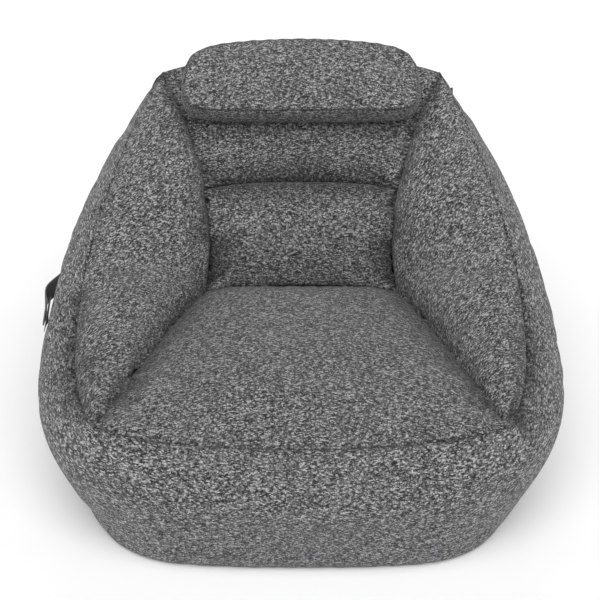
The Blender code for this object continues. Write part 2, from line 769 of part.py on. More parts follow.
def build_puller(place, pivot):
    """Pull tab: a flat tongue with a window, whose end bar passes under the crown."""
    axis = pivot.matrix_world.translation
    half, bar = PULLER_HALF_WIDTH, PULLER_THICKNESS / 2
    window = CROWN_HALF_WIDTH + 4 * TOUCH_GAP
    puller = bmesh.new()
    outer = [(bar, -half), (bar, half), (-PULLER_LENGTH + 0.002, half), (-PULLER_LENGTH, half - 0.002),
             (-PULLER_LENGTH, -half + 0.002), (-PULLER_LENGTH + 0.002, -half)]
    hole = [(-bar, -window), (-bar, window), (-PULLER_EYE, window), (-PULLER_EYE, window / 2),
            (-PULLER_EYE, -window / 2), (-PULLER_EYE, -window)]
    rings = []
    for y in (axis.y - bar, axis.y + bar):
        rings.append([puller.verts.new((axis.x + across, y, place.z + z)) for across, z in outer])
        rings.append([puller.verts.new((axis.x + across, y, place.z + z)) for across, z in hole])
    count = len(outer)
    for first, second in ((0, 1), (1, 3), (3, 2), (2, 0)):
        for i in range(count):
            j = (i + 1) % count
            puller.faces.new((rings[first][i], rings[first][j], rings[second][j], rings[second][i]))
    add_object("zip_puller", puller, "zip_metal", pivot, smooth=False)


# ---- the build ----------------------------------------------------------------------------------

def main():
    clear_scene()
    tree = build_cover()
    build_fill()
    hinge = headrest_point(0.0, HEADREST_HALF_HEIGHT + HEADREST_TOP_BOW, -HEADREST_THICKNESS / 2)
    build_headrest(add_pivot("headrest_hinge", hinge))
    build_flap()
    build_handle(tree)
    place = zip_place()
    build_zip_chain(place)
    slider_pivot = add_pivot("slider_start", Vector((SLIDER_REST_X, place.y, place.z)))
    top = build_slider(place, slider_pivot)
    puller_pivot = add_pivot("puller_hinge", Vector((SLIDER_REST_X, top + CROWN_HEIGHT / 2 - CROWN_BAR / 2,
                                                     place.z)))
    build_puller(place, puller_pivot)


main()
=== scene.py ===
"""Looks of a bean-filled lounge armchair: sewn heather cover, headrest pillow, handle and zip.

Metres, +Z up, the seat opens towards -Y. The chair's cover is one closed skin taken from the
frame, inflated as cloth between its seams, then cut into its sewn panels, whose edges roll in to
the seams.
"""

from __future__ import annotations

import json
import logging
import math
from dataclasses import dataclass, field
from enum import Enum

import bmesh
import bpy
from mathutils import Matrix, Vector
from mathutils.bvhtree import BVHTree
from mathutils.kdtree import KDTree
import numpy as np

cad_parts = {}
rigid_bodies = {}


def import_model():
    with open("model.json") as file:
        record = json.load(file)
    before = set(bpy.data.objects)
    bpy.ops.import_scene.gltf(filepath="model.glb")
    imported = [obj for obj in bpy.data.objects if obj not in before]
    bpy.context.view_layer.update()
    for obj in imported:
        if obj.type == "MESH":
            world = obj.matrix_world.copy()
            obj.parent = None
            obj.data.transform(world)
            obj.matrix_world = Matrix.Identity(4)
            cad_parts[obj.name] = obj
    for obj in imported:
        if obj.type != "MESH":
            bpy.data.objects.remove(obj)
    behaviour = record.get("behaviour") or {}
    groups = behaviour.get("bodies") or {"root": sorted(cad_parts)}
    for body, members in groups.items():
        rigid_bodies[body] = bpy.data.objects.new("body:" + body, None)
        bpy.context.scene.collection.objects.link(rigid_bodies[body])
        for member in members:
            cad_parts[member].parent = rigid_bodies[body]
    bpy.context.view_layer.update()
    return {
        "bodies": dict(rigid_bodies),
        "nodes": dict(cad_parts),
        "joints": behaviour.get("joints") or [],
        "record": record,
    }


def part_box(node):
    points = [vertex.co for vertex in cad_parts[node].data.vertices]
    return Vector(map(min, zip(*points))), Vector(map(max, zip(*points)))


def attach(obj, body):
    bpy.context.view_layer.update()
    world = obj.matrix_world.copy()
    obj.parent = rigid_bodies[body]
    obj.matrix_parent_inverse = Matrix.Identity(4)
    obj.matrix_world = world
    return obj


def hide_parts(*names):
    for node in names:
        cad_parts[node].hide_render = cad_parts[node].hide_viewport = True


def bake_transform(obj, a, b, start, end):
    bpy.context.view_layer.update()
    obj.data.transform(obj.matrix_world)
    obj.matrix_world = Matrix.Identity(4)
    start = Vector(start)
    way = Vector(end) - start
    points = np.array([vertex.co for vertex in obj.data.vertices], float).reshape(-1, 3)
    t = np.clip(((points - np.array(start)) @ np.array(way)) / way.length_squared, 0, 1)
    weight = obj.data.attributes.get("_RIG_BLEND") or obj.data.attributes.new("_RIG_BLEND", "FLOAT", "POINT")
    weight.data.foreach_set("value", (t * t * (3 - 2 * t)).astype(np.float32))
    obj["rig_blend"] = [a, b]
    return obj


LOG = logging.getLogger("lounge_chair")

UV_NAME = "cloth"


class Body(Enum):
    """The rigid bodies that pieces ride on."""

    CHAIR = "chair"
    HEADREST = "headrest"
    SLIDER = "slider"
    PULLER = "puller"


class Slot(Enum):
    """The record's material slots."""

    COVER = "cover_fabric"
    BASE = "base_fabric"
    WEBBING = "webbing"
    HOOK_LOOP = "hook_and_loop"
    ZIP_TAPE = "zip_tape"
    ZIP_COIL = "zip_plastic"
    ZIP_METAL = "zip_metal"


# ---- shader building ----------------------------------------------------------------------------

class Graph:
    """Short calls for building a node tree."""

    def __init__(self, tree: bpy.types.NodeTree) -> None:
        """Start on a tree that holds the nodes.

        Args:
            tree: The node tree to add to.
        """
        self.tree = tree

    def node(self, kind: str, inputs: dict | None = None, **settings: object) -> bpy.types.Node:
        """Add a node.

        Args:
            kind: Shader node type without its prefix.
            inputs: Socket name or number to a value or to an output socket.
            settings: Properties set on the node itself.

        Returns:
            The new node.
        """
        made = self.tree.nodes.new("ShaderNode" + kind)
        for name, value in settings.items():
            setattr(made, name, value)
        for key, value in (inputs or {}).items():
            if isinstance(value, bpy.types.NodeSocket):
                self.tree.links.new(value, made.inputs[key])
            else:
                made.inputs[key].default_value = value
        return made

    def math(self, operation: str, first: object, second: object = 0.0,
             third: object = 0.0) -> bpy.types.NodeSocket:
        """Arithmetic on up to three values, as one output socket."""
        inputs = {0: first, 1: second, 2: third}
        return self.node("Math", inputs, operation=operation).outputs[0]

    def mix(self, share: object, first: object, second: object) -> bpy.types.NodeSocket:
        """Blend between two colours by a share, as one output socket.

        Args:
            share: Share of the second colour.
            first: First colour.
            second: Second colour.

        Returns:
            The blended colour.
        """
        made = self.tree.nodes.new("ShaderNodeMix")
        made.data_type = "RGBA"
        for socket, value in ((made.inputs[0], share), (made.inputs[6], first),
                              (made.inputs[7], second)):
            if isinstance(value, bpy.types.NodeSocket):
                self.tree.links.new(value, socket)
            else:
                socket.default_value = value
        return made.outputs[2]

    def ramp(self, share: object, stops: list[tuple[float, float]]) -> bpy.types.NodeSocket:
        """Map a value through stops of position and grey level, as one output socket.

        Args:
            share: The value to map.
            stops: Position and grey level of each stop.

        Returns:
            The mapped value.
        """
        made = self.node("ValToRGB", {0: share})
        marks = made.color_ramp.elements
        while len(marks) < len(stops):
            marks.new(0.5)
        for mark, (place, level) in zip(marks, stops):
            mark.position = place
            mark.color = (level, level, level, 1.0)
        return made.outputs[0]


def new_group(name: str, inputs: list[tuple[str, str, object]],
              outputs: list[tuple[str, str]]) -> tuple[bpy.types.NodeTree, Graph, dict, dict]:
    """Make a shader node group with named sockets.

    Args:
        name: The group's name.
        inputs: Socket name, socket kind and default value.
        outputs: Socket name and socket kind.

    Returns:
        The tree, a graph on it, the inner input sockets and the inner output sockets by name.
    """
    tree = bpy.data.node_groups.new(name, "ShaderNodeTree")
    for label, kind, default in inputs:
        socket = tree.interface.new_socket(name=label, in_out="INPUT",
                                           socket_type="NodeSocket" + kind)
        if default is not None:
            socket.default_value = default
    for label, kind in outputs:
        tree.interface.new_socket(name=label, in_out="OUTPUT", socket_type="NodeSocket" + kind)
    graph = Graph(tree)
    source = tree.nodes.new("NodeGroupInput")
    sink = tree.nodes.new("NodeGroupOutput")
    return tree, graph, {s.name: s for s in source.outputs}, {s.name: s for s in sink.inputs}


def heather_group() -> bpy.types.NodeTree:
    """Woven melange cloth: yarns whose shade changes along their length, crossing over and under.

    Returns:
        A group that turns cloth coordinates in metres into a shade, a yarn height and a fluff mask.
    """
    tree, g, source, sink = new_group(
        "heather_weave",
        [("Vector", "Vector", None), ("Yarn", "Float", 0.0022), ("Dash", "Float", 0.010),
         ("Seed", "Float", 0.0)],
        [("Shade", "Float"), ("Height", "Float"), ("Fluff", "Float")])
    wobble = g.node("TexNoise", {"Vector": source["Vector"], "Scale": 90.0, "Detail": 1.0})
    shift = g.node("VectorMath", {0: wobble.outputs["Color"], 1: (0.5, 0.5, 0.5)},
                   operation="SUBTRACT")
    shift = g.node("VectorMath", {0: shift.outputs[0], "Scale": 0.0024}, operation="SCALE")
    place = g.node("VectorMath", {0: source["Vector"], 1: shift.outputs[0]}, operation="ADD")
    parts = g.node("SeparateXYZ", {0: place.outputs[0]})
    along, across = parts.outputs[0], parts.outputs[1]
    layers = []
    for run, side, offset in ((along, across, 0.0), (across, along, 37.0)):
        count = g.math("DIVIDE", side, source["Yarn"])
        row = g.math("FLOOR", count)
        inside = g.math("FRACT", count)
        own = g.math("ADD", g.math("MULTIPLY", row, 17.31), offset)
        travel = g.math("DIVIDE", run, source["Dash"])
        spot = g.node("CombineXYZ", {0: travel, 1: own, 2: source["Seed"]})
        tone = g.node("TexNoise", {"Vector": spot.outputs[0], "Scale": 1.0, "Detail": 2.0,
                                   "Roughness": 0.75}).outputs[0]
        layers.append((row, inside, tone))
    (row, inside, weft), (column, within, warp) = layers
    cross = g.math("ADD", row, g.math("FLOOR", g.math("MULTIPLY", column, 0.5)))
    over = g.math("GREATER_THAN", g.math("FRACT", g.math("MULTIPLY", cross, 0.5)), 0.25)
    cover = g.math("MULTIPLY", over, 0.30)
    tone = g.math("ADD", g.math("MULTIPLY", weft, g.math("SUBTRACT", 1.0, cover)),
                  g.math("MULTIPLY", warp, cover))
    sink_shade = g.ramp(tone, [(0.39, 0.0), (0.47, 0.13), (0.54, 0.38), (0.625, 1.0)])
    weft_round = g.math("SINE", g.math("MULTIPLY", inside, math.pi))
    warp_round = g.math("SINE", g.math("MULTIPLY", within, math.pi))
    crest = g.math("ADD", g.math("MULTIPLY", weft_round, g.math("SUBTRACT", 1.0, over)),
                   g.math("MULTIPLY", warp_round, over))
    fluff = g.node("TexNoise",
                   {"Vector": source["Vector"], "Scale": 1400.0, "Detail": 2.0}).outputs[0]
    height = g.math("ADD", crest, g.math("MULTIPLY", fluff, 0.55))
    g.tree.links.new(sink_shade, sink["Shade"])
    g.tree.links.new(height, sink["Height"])
    g.tree.links.new(fluff, sink["Fluff"])
    return tree


def wear_group() -> bpy.types.NodeTree:
    """Soft patches of wear and dust: broad cloudy mask and a fine speck mask.

    Returns:
        A group that turns coordinates into the two masks.
    """
    tree, g, source, sink = new_group(
        "wear_patches", [("Vector", "Vector", None), ("Size", "Float", 7.0)],
        [("Patches", "Float"), ("Specks", "Float")])
    broad = g.node("TexNoise", {"Vector": source["Vector"], "Scale": source["Size"], "Detail": 4.0,
                                "Roughness": 0.6}).outputs[0]
    fine = g.node("TexNoise",
                  {"Vector": source["Vector"], "Scale": 420.0, "Detail": 3.0}).outputs[0]
    g.tree.links.new(g.ramp(broad, [(0.35, 0.0), (0.68, 1.0)]), sink["Patches"])
    g.tree.links.new(g.ramp(fine, [(0.58, 0.0), (0.70, 1.0)]), sink["Specks"])
    return tree


def ribs_group() -> bpy.types.NodeTree:
    """Fine ribs across a narrow tape, with a twill slant and loose shade.

    Returns:
        A group that turns coordinates, run first, into a shade and a height.
    """
    tree, g, source, sink = new_group(
        "tape_ribs", [("Vector", "Vector", None), ("Pitch", "Float", 0.0013)],
        [("Shade", "Float"), ("Height", "Float")])
    parts = g.node("SeparateXYZ", {0: source["Vector"]})
    turn = g.math("DIVIDE", math.tau, source["Pitch"])
    rib = g.math("SINE", g.math("MULTIPLY", parts.outputs[0], turn))
    slant = g.math("ADD", parts.outputs[0],
                   g.math("MULTIPLY", g.math("PINGPONG", parts.outputs[1], 0.006), 0.8))
    twill = g.math("SINE", g.math("MULTIPLY", g.math("MULTIPLY", slant, turn), 0.5))
    height = g.math("ADD", g.math("MULTIPLY", rib, 0.6), g.math("MULTIPLY", twill, 0.4))
    loose = g.node("TexNoise",
                   {"Vector": source["Vector"], "Scale": 600.0, "Detail": 2.0}).outputs[0]
    # Painted shade: the colour follows the rib height, lighter on the crests and darker in the grooves,
    # mixed with random yarn tone.
    shade = g.math("ADD", g.math("MULTIPLY", g.math("ADD", height, 1.0), 0.3),
                   g.math("MULTIPLY", loose, 0.4))
    g.tree.links.new(shade, sink["Shade"])
    g.tree.links.new(height, sink["Height"])
    return tree


class Groups:
    """The shared node groups, each made once."""

    def __init__(self) -> None:
        """Build the groups."""
        self.heather = heather_group()
        self.wear = wear_group()
        self.ribs = ribs_group()


def start_material(name: str, roughness: float, metallic: float = 0.0
                   ) -> tuple[bpy.types.Material, Graph, bpy.types.Node]:
    """Make a material with its Principled shader ready for links.

    Args:
        name: The material's name.
        roughness: Constant roughness, used where nothing is linked.
        metallic: Constant metallic value.

    Returns:
        The material, a graph on its tree and its Principled node.
    """
    material = bpy.data.materials.new(name)
    material.use_nodes = True
    shader = material.node_tree.nodes["Principled BSDF"]
    shader.inputs["Roughness"].default_value = roughness
    shader.inputs["Metallic"].default_value = metallic
    return material, Graph(material.node_tree), shader


@dataclass(frozen=True)
class HeatherCloth:
    """The cover's coarse melange cloth."""

    name: str = "heather_cloth"
    dark: tuple[float, float, float, float] = (0.006, 0.006, 0.0062, 1.0)
    light: tuple[float, float, float, float] = (0.45, 0.452, 0.456, 1.0)
    yarn: float = 0.0019
    dash: float = 0.0072
    relief: float = 0.0006
    seed: float = 0.0

    def build(self, groups: Groups) -> bpy.types.Material:
        """Make the material.

        Args:
            groups: The shared node groups.

        Returns:
            The finished material.
        """
        material, g, shader = start_material(self.name, 0.95)
        cloth = g.node("UVMap", uv_map=UV_NAME).outputs[0]
        weave = g.node("Group", node_tree=groups.heather)
        for key, value in (("Yarn", self.yarn), ("Dash", self.dash), ("Seed", self.seed)):
            weave.inputs[key].default_value = value
        g.tree.links.new(cloth, weave.inputs["Vector"])
        wear = g.node("Group", node_tree=groups.wear)
        place = g.node("TexCoord").outputs["Object"]
        g.tree.links.new(place, wear.inputs["Vector"])
        colour = g.mix(weave.outputs["Shade"], self.dark, self.light)
        worn = g.mix(g.math("MULTIPLY", wear.outputs["Patches"], 0.10), colour,
                     (0.20, 0.20, 0.205, 1.0))
        # Painted shade: the attribute read here darkens the cloth towards its dark yarn colour near seams
        # and in deep creases.
        painted_crease_shade = g.node("Attribute", attribute_name="painted_crease_shade").outputs["Fac"]
        deep = g.mix(g.math("MULTIPLY", painted_crease_shade, 0.9), worn, self.dark)
        g.tree.links.new(deep, shader.inputs["Base Color"])
        rough = g.math("ADD", 0.86, g.math("MULTIPLY", weave.outputs["Fluff"], 0.14))
        g.tree.links.new(rough, shader.inputs["Roughness"])
        bump = g.node("Bump",
                      {"Strength": 0.9, "Distance": self.relief, "Height": weave.outputs["Height"]})
        g.tree.links.new(bump.outputs[0], shader.inputs["Normal"])
        shader.inputs["Sheen Weight"].default_value = 0.12
        shader.inputs["Sheen Roughness"].default_value = 0.5
        shader.inputs["Specular IOR Level"].default_value = 0.15
        return material


@dataclass(frozen=True)
class BaseCloth:
    """Coated hard-wearing cloth of the base, with fine ribs and small grip dots."""

    name: str = "coated_base_cloth"
    colour: tuple[float, float, float, float] = (0.022, 0.022, 0.024, 1.0)
    dust: tuple[float, float, float, float] = (0.10, 0.095, 0.085, 1.0)

    def build(self, groups: Groups) -> bpy.types.Material:
        """Make the material from the shared groups.

        Args:
            groups: The shared node groups.

        Returns:
            The finished material.
        """
        material, g, shader = start_material(self.name, 0.62)
        place = g.node("TexCoord").outputs["Object"]
        wear = g.node("Group", node_tree=groups.wear)
        g.tree.links.new(place, wear.inputs["Vector"])
        weave = g.node("Group", node_tree=groups.heather)
        weave.inputs["Yarn"].default_value = 0.0009
        weave.inputs["Dash"].default_value = 0.004
        g.tree.links.new(place, weave.inputs["Vector"])
        dots = g.node("TexVoronoi", {"Vector": place, "Scale": 120.0, "Randomness": 0.0}).outputs[0]
        dot = g.ramp(dots, [(0.20, 1.0), (0.30, 0.0)])
        shade = g.mix(weave.outputs["Shade"], self.colour, (0.045, 0.045, 0.048, 1.0))
        dusty = g.mix(g.math("MULTIPLY", wear.outputs["Patches"], 0.35), shade, self.dust)
        g.tree.links.new(dusty, shader.inputs["Base Color"])
        g.tree.links.new(g.math("SUBTRACT", 0.72, g.math("MULTIPLY", dot, 0.25)),
                         shader.inputs["Roughness"])
        height = g.math("ADD", g.math("MULTIPLY", weave.outputs["Height"], 0.3), dot)
        bump = g.node("Bump", {"Strength": 0.8, "Distance": 0.0005, "Height": height})
        g.tree.links.new(bump.outputs[0], shader.inputs["Normal"])
        return material


@dataclass(frozen=True)
class NarrowWeave:
    """Webbing, tape or thread: fine ribs across the run, with a twill slant between them."""

    name: str
    dark: tuple[float, float, float, float]
    light: tuple[float, float, float, float]
    run: int = 1
    side: int = 2
    rib: float = 0.0013
    roughness: float = 0.85
    relief: float = 0.0004

    def build(self, groups: Groups) -> bpy.types.Material:
        """Make the material from the shared groups.

        Args:
            groups: The shared node groups.

        Returns:
            The finished material.
        """
        material, g, shader = start_material(self.name, self.roughness)
        place = g.node("TexCoord").outputs["Object"]
        ribs = g.node("Group", node_tree=groups.ribs)
        wear = g.node("Group", node_tree=groups.wear)
        parts = g.node("SeparateXYZ", {0: place})
        flat = g.node("CombineXYZ", {0: parts.outputs[self.run], 1: parts.outputs[self.side]})
        g.tree.links.new(flat.outputs[0], ribs.inputs["Vector"])
        g.tree.links.new(place, wear.inputs["Vector"])
        ribs.inputs["Pitch"].default_value = self.rib
        # The ribs' shade holds painted shade: darker grooves and lighter rib crests, with random yarn tone.
        shade = g.mix(ribs.outputs["Shade"], self.dark, self.light)
        fuzzy = g.mix(g.math("MULTIPLY", wear.outputs["Specks"], 0.25), shade,
                      (0.30, 0.30, 0.30, 1.0))
        g.tree.links.new(fuzzy, shader.inputs["Base Color"])
        g.tree.links.new(g.math("ADD", self.roughness - 0.1,
                                g.math("MULTIPLY", wear.outputs["Patches"], 0.15)),
                         shader.inputs["Roughness"])
        bump = g.node("Bump",
                      {"Strength": 0.9, "Distance": self.relief, "Height": ribs.outputs["Height"]})
        g.tree.links.new(bump.outputs[0], shader.inputs["Normal"])
        return material


@dataclass(frozen=True)
class Pile:
    """Hook-and-loop tape: a dense matt pile of short curled hairs."""

    name: str = "hook_and_loop_pile"

    def build(self, groups: Groups) -> bpy.types.Material:
        """Make the material from the shared groups.

        Args:
            groups: The shared node groups.

        Returns:
            The finished material.
        """
        material, g, shader = start_material(self.name, 0.95)
        place = g.node("TexCoord").outputs["Object"]
        hairs = g.node("TexVoronoi", {"Vector": place, "Scale": 900.0}).outputs[0]
        wear = g.node("Group", node_tree=groups.wear)
        g.tree.links.new(place, wear.inputs["Vector"])
        # Painted shade: the hair tops are lighter and the hollows between the hairs darker, from the same
        # cells that make the bump.
        shade = g.mix(g.ramp(hairs, [(0.1, 1.0), (0.7, 0.0)]), (0.012, 0.012, 0.013, 1.0),
                      (0.07, 0.07, 0.074, 1.0))
        lint = g.mix(g.math("MULTIPLY", wear.outputs["Specks"], 0.4), shade,
                     (0.35, 0.34, 0.32, 1.0))
        g.tree.links.new(lint, shader.inputs["Base Color"])
        bump = g.node("Bump", {"Strength": 1.0, "Distance": 0.0008, "Height": hairs})
        bump.invert = True
        g.tree.links.new(bump.outputs[0], shader.inputs["Normal"])
        return material


@dataclass(frozen=True)
class Casting:
    """Satin die-cast metal or moulded plastic of the zip, rubbed brighter on its edges."""

    name: str
    colour: tuple[float, float, float, float]
    rubbed: tuple[float, float, float, float]
    roughness: float
    metallic: float

    def build(self, groups: Groups) -> bpy.types.Material:
        """Make the material from the shared groups.

        Args:
            groups: The shared node groups.

        Returns:
            The finished material.
        """
        material, g, shader = start_material(self.name, self.roughness, self.metallic)
        place = g.node("TexCoord").outputs["Object"]
        wear = g.node("Group", node_tree=groups.wear)
        wear.inputs["Size"].default_value = 160.0
        g.tree.links.new(place, wear.inputs["Vector"])
        edge = g.ramp(g.node("NewGeometry").outputs["Pointiness"], [(0.50, 0.0), (0.56, 1.0)])
        share = g.math("ADD", g.math("MULTIPLY", wear.outputs["Patches"], 0.4),
                       g.math("MULTIPLY", edge, 0.5))
        g.tree.links.new(g.mix(share, self.colour, self.rubbed), shader.inputs["Base Color"])
        rough = g.math("ADD", self.roughness - 0.06,
                       g.math("MULTIPLY", wear.outputs["Patches"], 0.16))
        g.tree.links.new(rough, shader.inputs["Roughness"])
        bump = g.node("Bump",
                      {"Strength": 0.25, "Distance": 0.0001, "Height": wear.outputs["Specks"]})
        g.tree.links.new(bump.outputs[0], shader.inputs["Normal"])
        return material


# ---- mesh helpers -------------------------------------------------------------------------------

def deselect() -> None:
    """Leave nothing selected."""
    bpy.ops.object.select_all(action="DESELECT")


def make_active(item: bpy.types.Object) -> None:
    """Select one object alone and make it the active one.

    Args:
        item: The object.
    """
    deselect()
    item.select_set(True)
    bpy.context.view_layer.objects.active = item


def apply_modifiers(item: bpy.types.Object) -> None:
    """Apply every modifier of an object, in order."""
    make_active(item)
    for name in [modifier.name for modifier in item.modifiers]:
        bpy.ops.object.modifier_apply(modifier=name)


def object_from(name: str, solid: bmesh.types.BMesh) -> bpy.types.Object:
    """Turn a bmesh into a linked object at the origin, and free it.

    Args:
        name: The object's name.
        solid: The mesh to take over.

    Returns:
        The linked object.
    """
    mesh = bpy.data.meshes.new(name)
    solid.to_mesh(mesh)
    solid.free()
    item = bpy.data.objects.new(name, mesh)
    bpy.context.scene.collection.objects.link(item)
    return item


def merged_copy(node: bpy.types.Object) -> bmesh.types.BMesh:
    """The frame node's mesh with its doubled corners merged.

    Args:
        node: A frame node, which is left alone.

    Returns:
        A new mesh of its merged faces.
    """
    solid = bmesh.new()
    solid.from_mesh(node.data)
    bmesh.ops.remove_doubles(solid, verts=solid.verts, dist=0.00002)
    solid.normal_update()
    return solid


def outer_faces(solid: bmesh.types.BMesh, core: BVHTree) -> list[list[Vector]]:
    """Corners of the faces on a panel's outer side, the side that looks away from its filling.

    Args:
        solid: A panel's closed shell.
        core: Search tree of the filling's surface.

    Returns:
        One list of corner points per face.
    """
    result = []
    for face in solid.faces:
        middle = face.calc_center_median()
        nearest = core.find_nearest(middle)[0]
        away = middle - nearest
        if away.normalized().dot(face.normal) > 0.5:
            result.append([corner.co.copy() for corner in face.verts])
    return result


def tree_of(node: bpy.types.Object) -> BVHTree:
    """Search tree of an object's mesh."""
    mesh = node.data
    return BVHTree.FromPolygons([v.co for v in mesh.vertices],
                                [tuple(p.vertices) for p in mesh.polygons])


@dataclass
class Skin:
    """A closed cloth skin gathered from panels, inflated between its seams and cut up again."""

    name: str
    panels: list[str]
    merge: float = 0.0013
    levels: int = 2
    pressure: float = 4.0
    ease: float = 0.02
    cap: float = 0.010
    frames: int = 20
    mass: float = 0.3
    stretch: float = 18.0
    shear: float = 8.0
    bend: float = 0.6
    still_boxes: list[tuple[Vector, Vector]] = field(default_factory=list)
    still_panels: list[str] = field(default_factory=list)
    calm: dict[str, float] = field(default_factory=dict)
    firm: int = 0

    def gather(self, nodes: dict[str, bpy.types.Object], core: BVHTree) -> bpy.types.Object:
        """Join the panels' outer sides into one mesh whose seams are creased.

        Args:
            nodes: The frame's nodes by name.
            core: Search tree of what fills the panels.

        Returns:
            The joined object; a face's material index is its panel's number.
        """
        joined = bmesh.new()
        for number, panel in enumerate(self.panels):
            shell = merged_copy(nodes[panel])
            for corners in outer_faces(shell, core):
                face = joined.faces.new([joined.verts.new(point) for point in corners])
                face.material_index = number
            shell.free()
        bmesh.ops.remove_doubles(joined, verts=joined.verts, dist=self.merge)
        bmesh.ops.join_triangles(joined, faces=joined.faces, cmp_materials=True,
                                 angle_face_threshold=1.2,
                                 angle_shape_threshold=1.9)
        bmesh.ops.recalc_face_normals(joined, faces=joined.faces)
        crease = joined.edges.layers.float.new("crease_edge")
        loose = 0
        for edge in joined.edges:
            numbers = {face.material_index for face in edge.link_faces}
            if len(numbers) > 1:
                edge[crease] = 1.0
            loose += len(edge.link_faces) != 2
        LOG.info("%s: %d faces gathered, %d open edges", self.name, len(joined.faces), loose)
        item = object_from(self.name, joined)
        for number in range(len(self.panels)):
            item.data.materials.append(None)
        for label, kind, count in (("firm", "SIMPLE", self.firm),
                                   ("rounding", "CATMULL_CLARK", self.levels)):
            if count:
                rounding = item.modifiers.new(label, "SUBSURF")
                rounding.subdivision_type = kind
                rounding.levels = rounding.render_levels = count
        apply_modifiers(item)
        return item

    def pin_weights(self, item: bpy.types.Object) -> list[float]:
        """How firmly each point is held: 1 on seams, on still panels and in still boxes.

        Args:
            item: The skin.

        Returns:
            One weight per point.
        """
        mesh = item.data
        panels = [set() for _ in mesh.vertices]
        for face in mesh.polygons:
            for corner in face.vertices:
                panels[corner].add(face.material_index)
        still = {self.panels.index(panel) for panel in self.still_panels}
        weights = []
        for vertex, own in zip(mesh.vertices, panels):
            held = len(own) > 1 or bool(own & still)
            for low, high in self.still_boxes:
                held = held or all(low[k] <= vertex.co[k] <= high[k] for k in range(3))
            weights.append(1.0 if held else 0.0)
        return weights

    def inflate(self, item: bpy.types.Object) -> None:
        """Let the cloth swell between its seams, with each point's travel capped.

        Args:
            item: The skin, changed in place.
        """
        mesh = item.data
        before = [vertex.co.copy() for vertex in mesh.vertices]
        weights = self.pin_weights(item)
        pins = item.vertex_groups.new(name="pins")
        for number, weight in enumerate(weights):
            if weight > 0.0:
                pins.add([number], weight, "REPLACE")
        cloth = item.modifiers.new("cloth", "CLOTH")
        settings = cloth.settings
        settings.quality = 5
        settings.mass = self.mass
        settings.tension_stiffness = self.stretch
        settings.compression_stiffness = self.stretch
        settings.shear_stiffness = self.shear
        settings.bending_stiffness = self.bend
        settings.shrink_min = -self.ease
        settings.use_pressure = True
        settings.uniform_pressure_force = self.pressure
        settings.vertex_group_mass = "pins"
        settings.effector_weights.gravity = 0.0
        cloth.collision_settings.use_collision = False
        cloth.point_cache.frame_start = 1
        cloth.point_cache.frame_end = self.frames
        scene = bpy.context.scene
        for frame in range(1, self.frames + 1):
            scene.frame_set(frame)
        apply_modifiers(item)
        scene.frame_set(1)
        shares = [1.0] * len(before)
        for face in item.data.polygons:
            share = self.calm.get(self.panels[face.material_index], 1.0)
            for corner in face.vertices:
                shares[corner] = min(shares[corner], share)
        for vertex, start, share in zip(item.data.vertices, before, shares):
            move = (vertex.co - start) * share
            vertex.co = start + move
            if move.length > self.cap:
                vertex.co = start + move.normalized() * self.cap
        item.vertex_groups.clear()

    def build(self, nodes: dict[str, bpy.types.Object], core: BVHTree) -> bpy.types.Object:
        """Gather the skin, inflate it and smooth it once more.

        Args:
            nodes: The frame's nodes by name.
            core: Search tree of what fills the panels.

        Returns:
            The inflated skin.
        """
        item = self.gather(nodes, core)
        self.inflate(item)
        finer = item.modifiers.new("finer", "SUBSURF")
        finer.levels = finer.render_levels = 1
        apply_modifiers(item)
        return item


@dataclass(frozen=True)
class SeamRoll:
    """How a panel's edge rolls in to its seam."""

    rows: tuple[float, ...] = (0.15, 0.36, 0.64)
    reach: float = 0.0065
    depth: float = 0.0048
    crease_reach: float = 0.018
    crease_depth: float = 0.014
    flange: float = 0.009
    gap: float = 0.0006
    thickness: float = 0.0014
    depth_share: float = 0.16
    flange_share: float = 0.25
    proud: float = 0.0004
    # How far the painted shade reaches from a seam, and from a deep crease.
    painted_shade_reach: float = 0.012
    deep_painted_shade_reach: float = 0.11


def cut_panel(skin: bpy.types.Object, number: int, name: str) -> bpy.types.Object:
    """Copy one panel's faces out of a skin, with the skin's normals kept for its edges.

    Args:
        skin: The joined skin; its material index is the panel's number.
        number: The panel's number.
        name: Name of the new object.

    Returns:
        An open sheet whose "seam" attribute holds the skin's outward direction at each point.
    """
    source = bmesh.new()
    source.from_mesh(skin.data)
    source.normal_update()
    seam = source.verts.layers.float_vector.new("seam")
    fold = source.verts.layers.float.new("fold")
    for vertex in source.verts:
        vertex[seam] = vertex.normal
        lifts = [(face.calc_center_median() - vertex.co).normalized().dot(vertex.normal)
                 for face in vertex.link_faces]
        vertex[fold] = min(max(sum(lifts) / len(lifts) / 0.35, 0.0), 1.0)
    others = [face for face in source.faces if face.material_index != number]
    bmesh.ops.delete(source, geom=others, context="FACES")
    for face in source.faces:
        face.material_index = 0
    item = object_from(name, source)
    item.data.materials.clear()
    return item


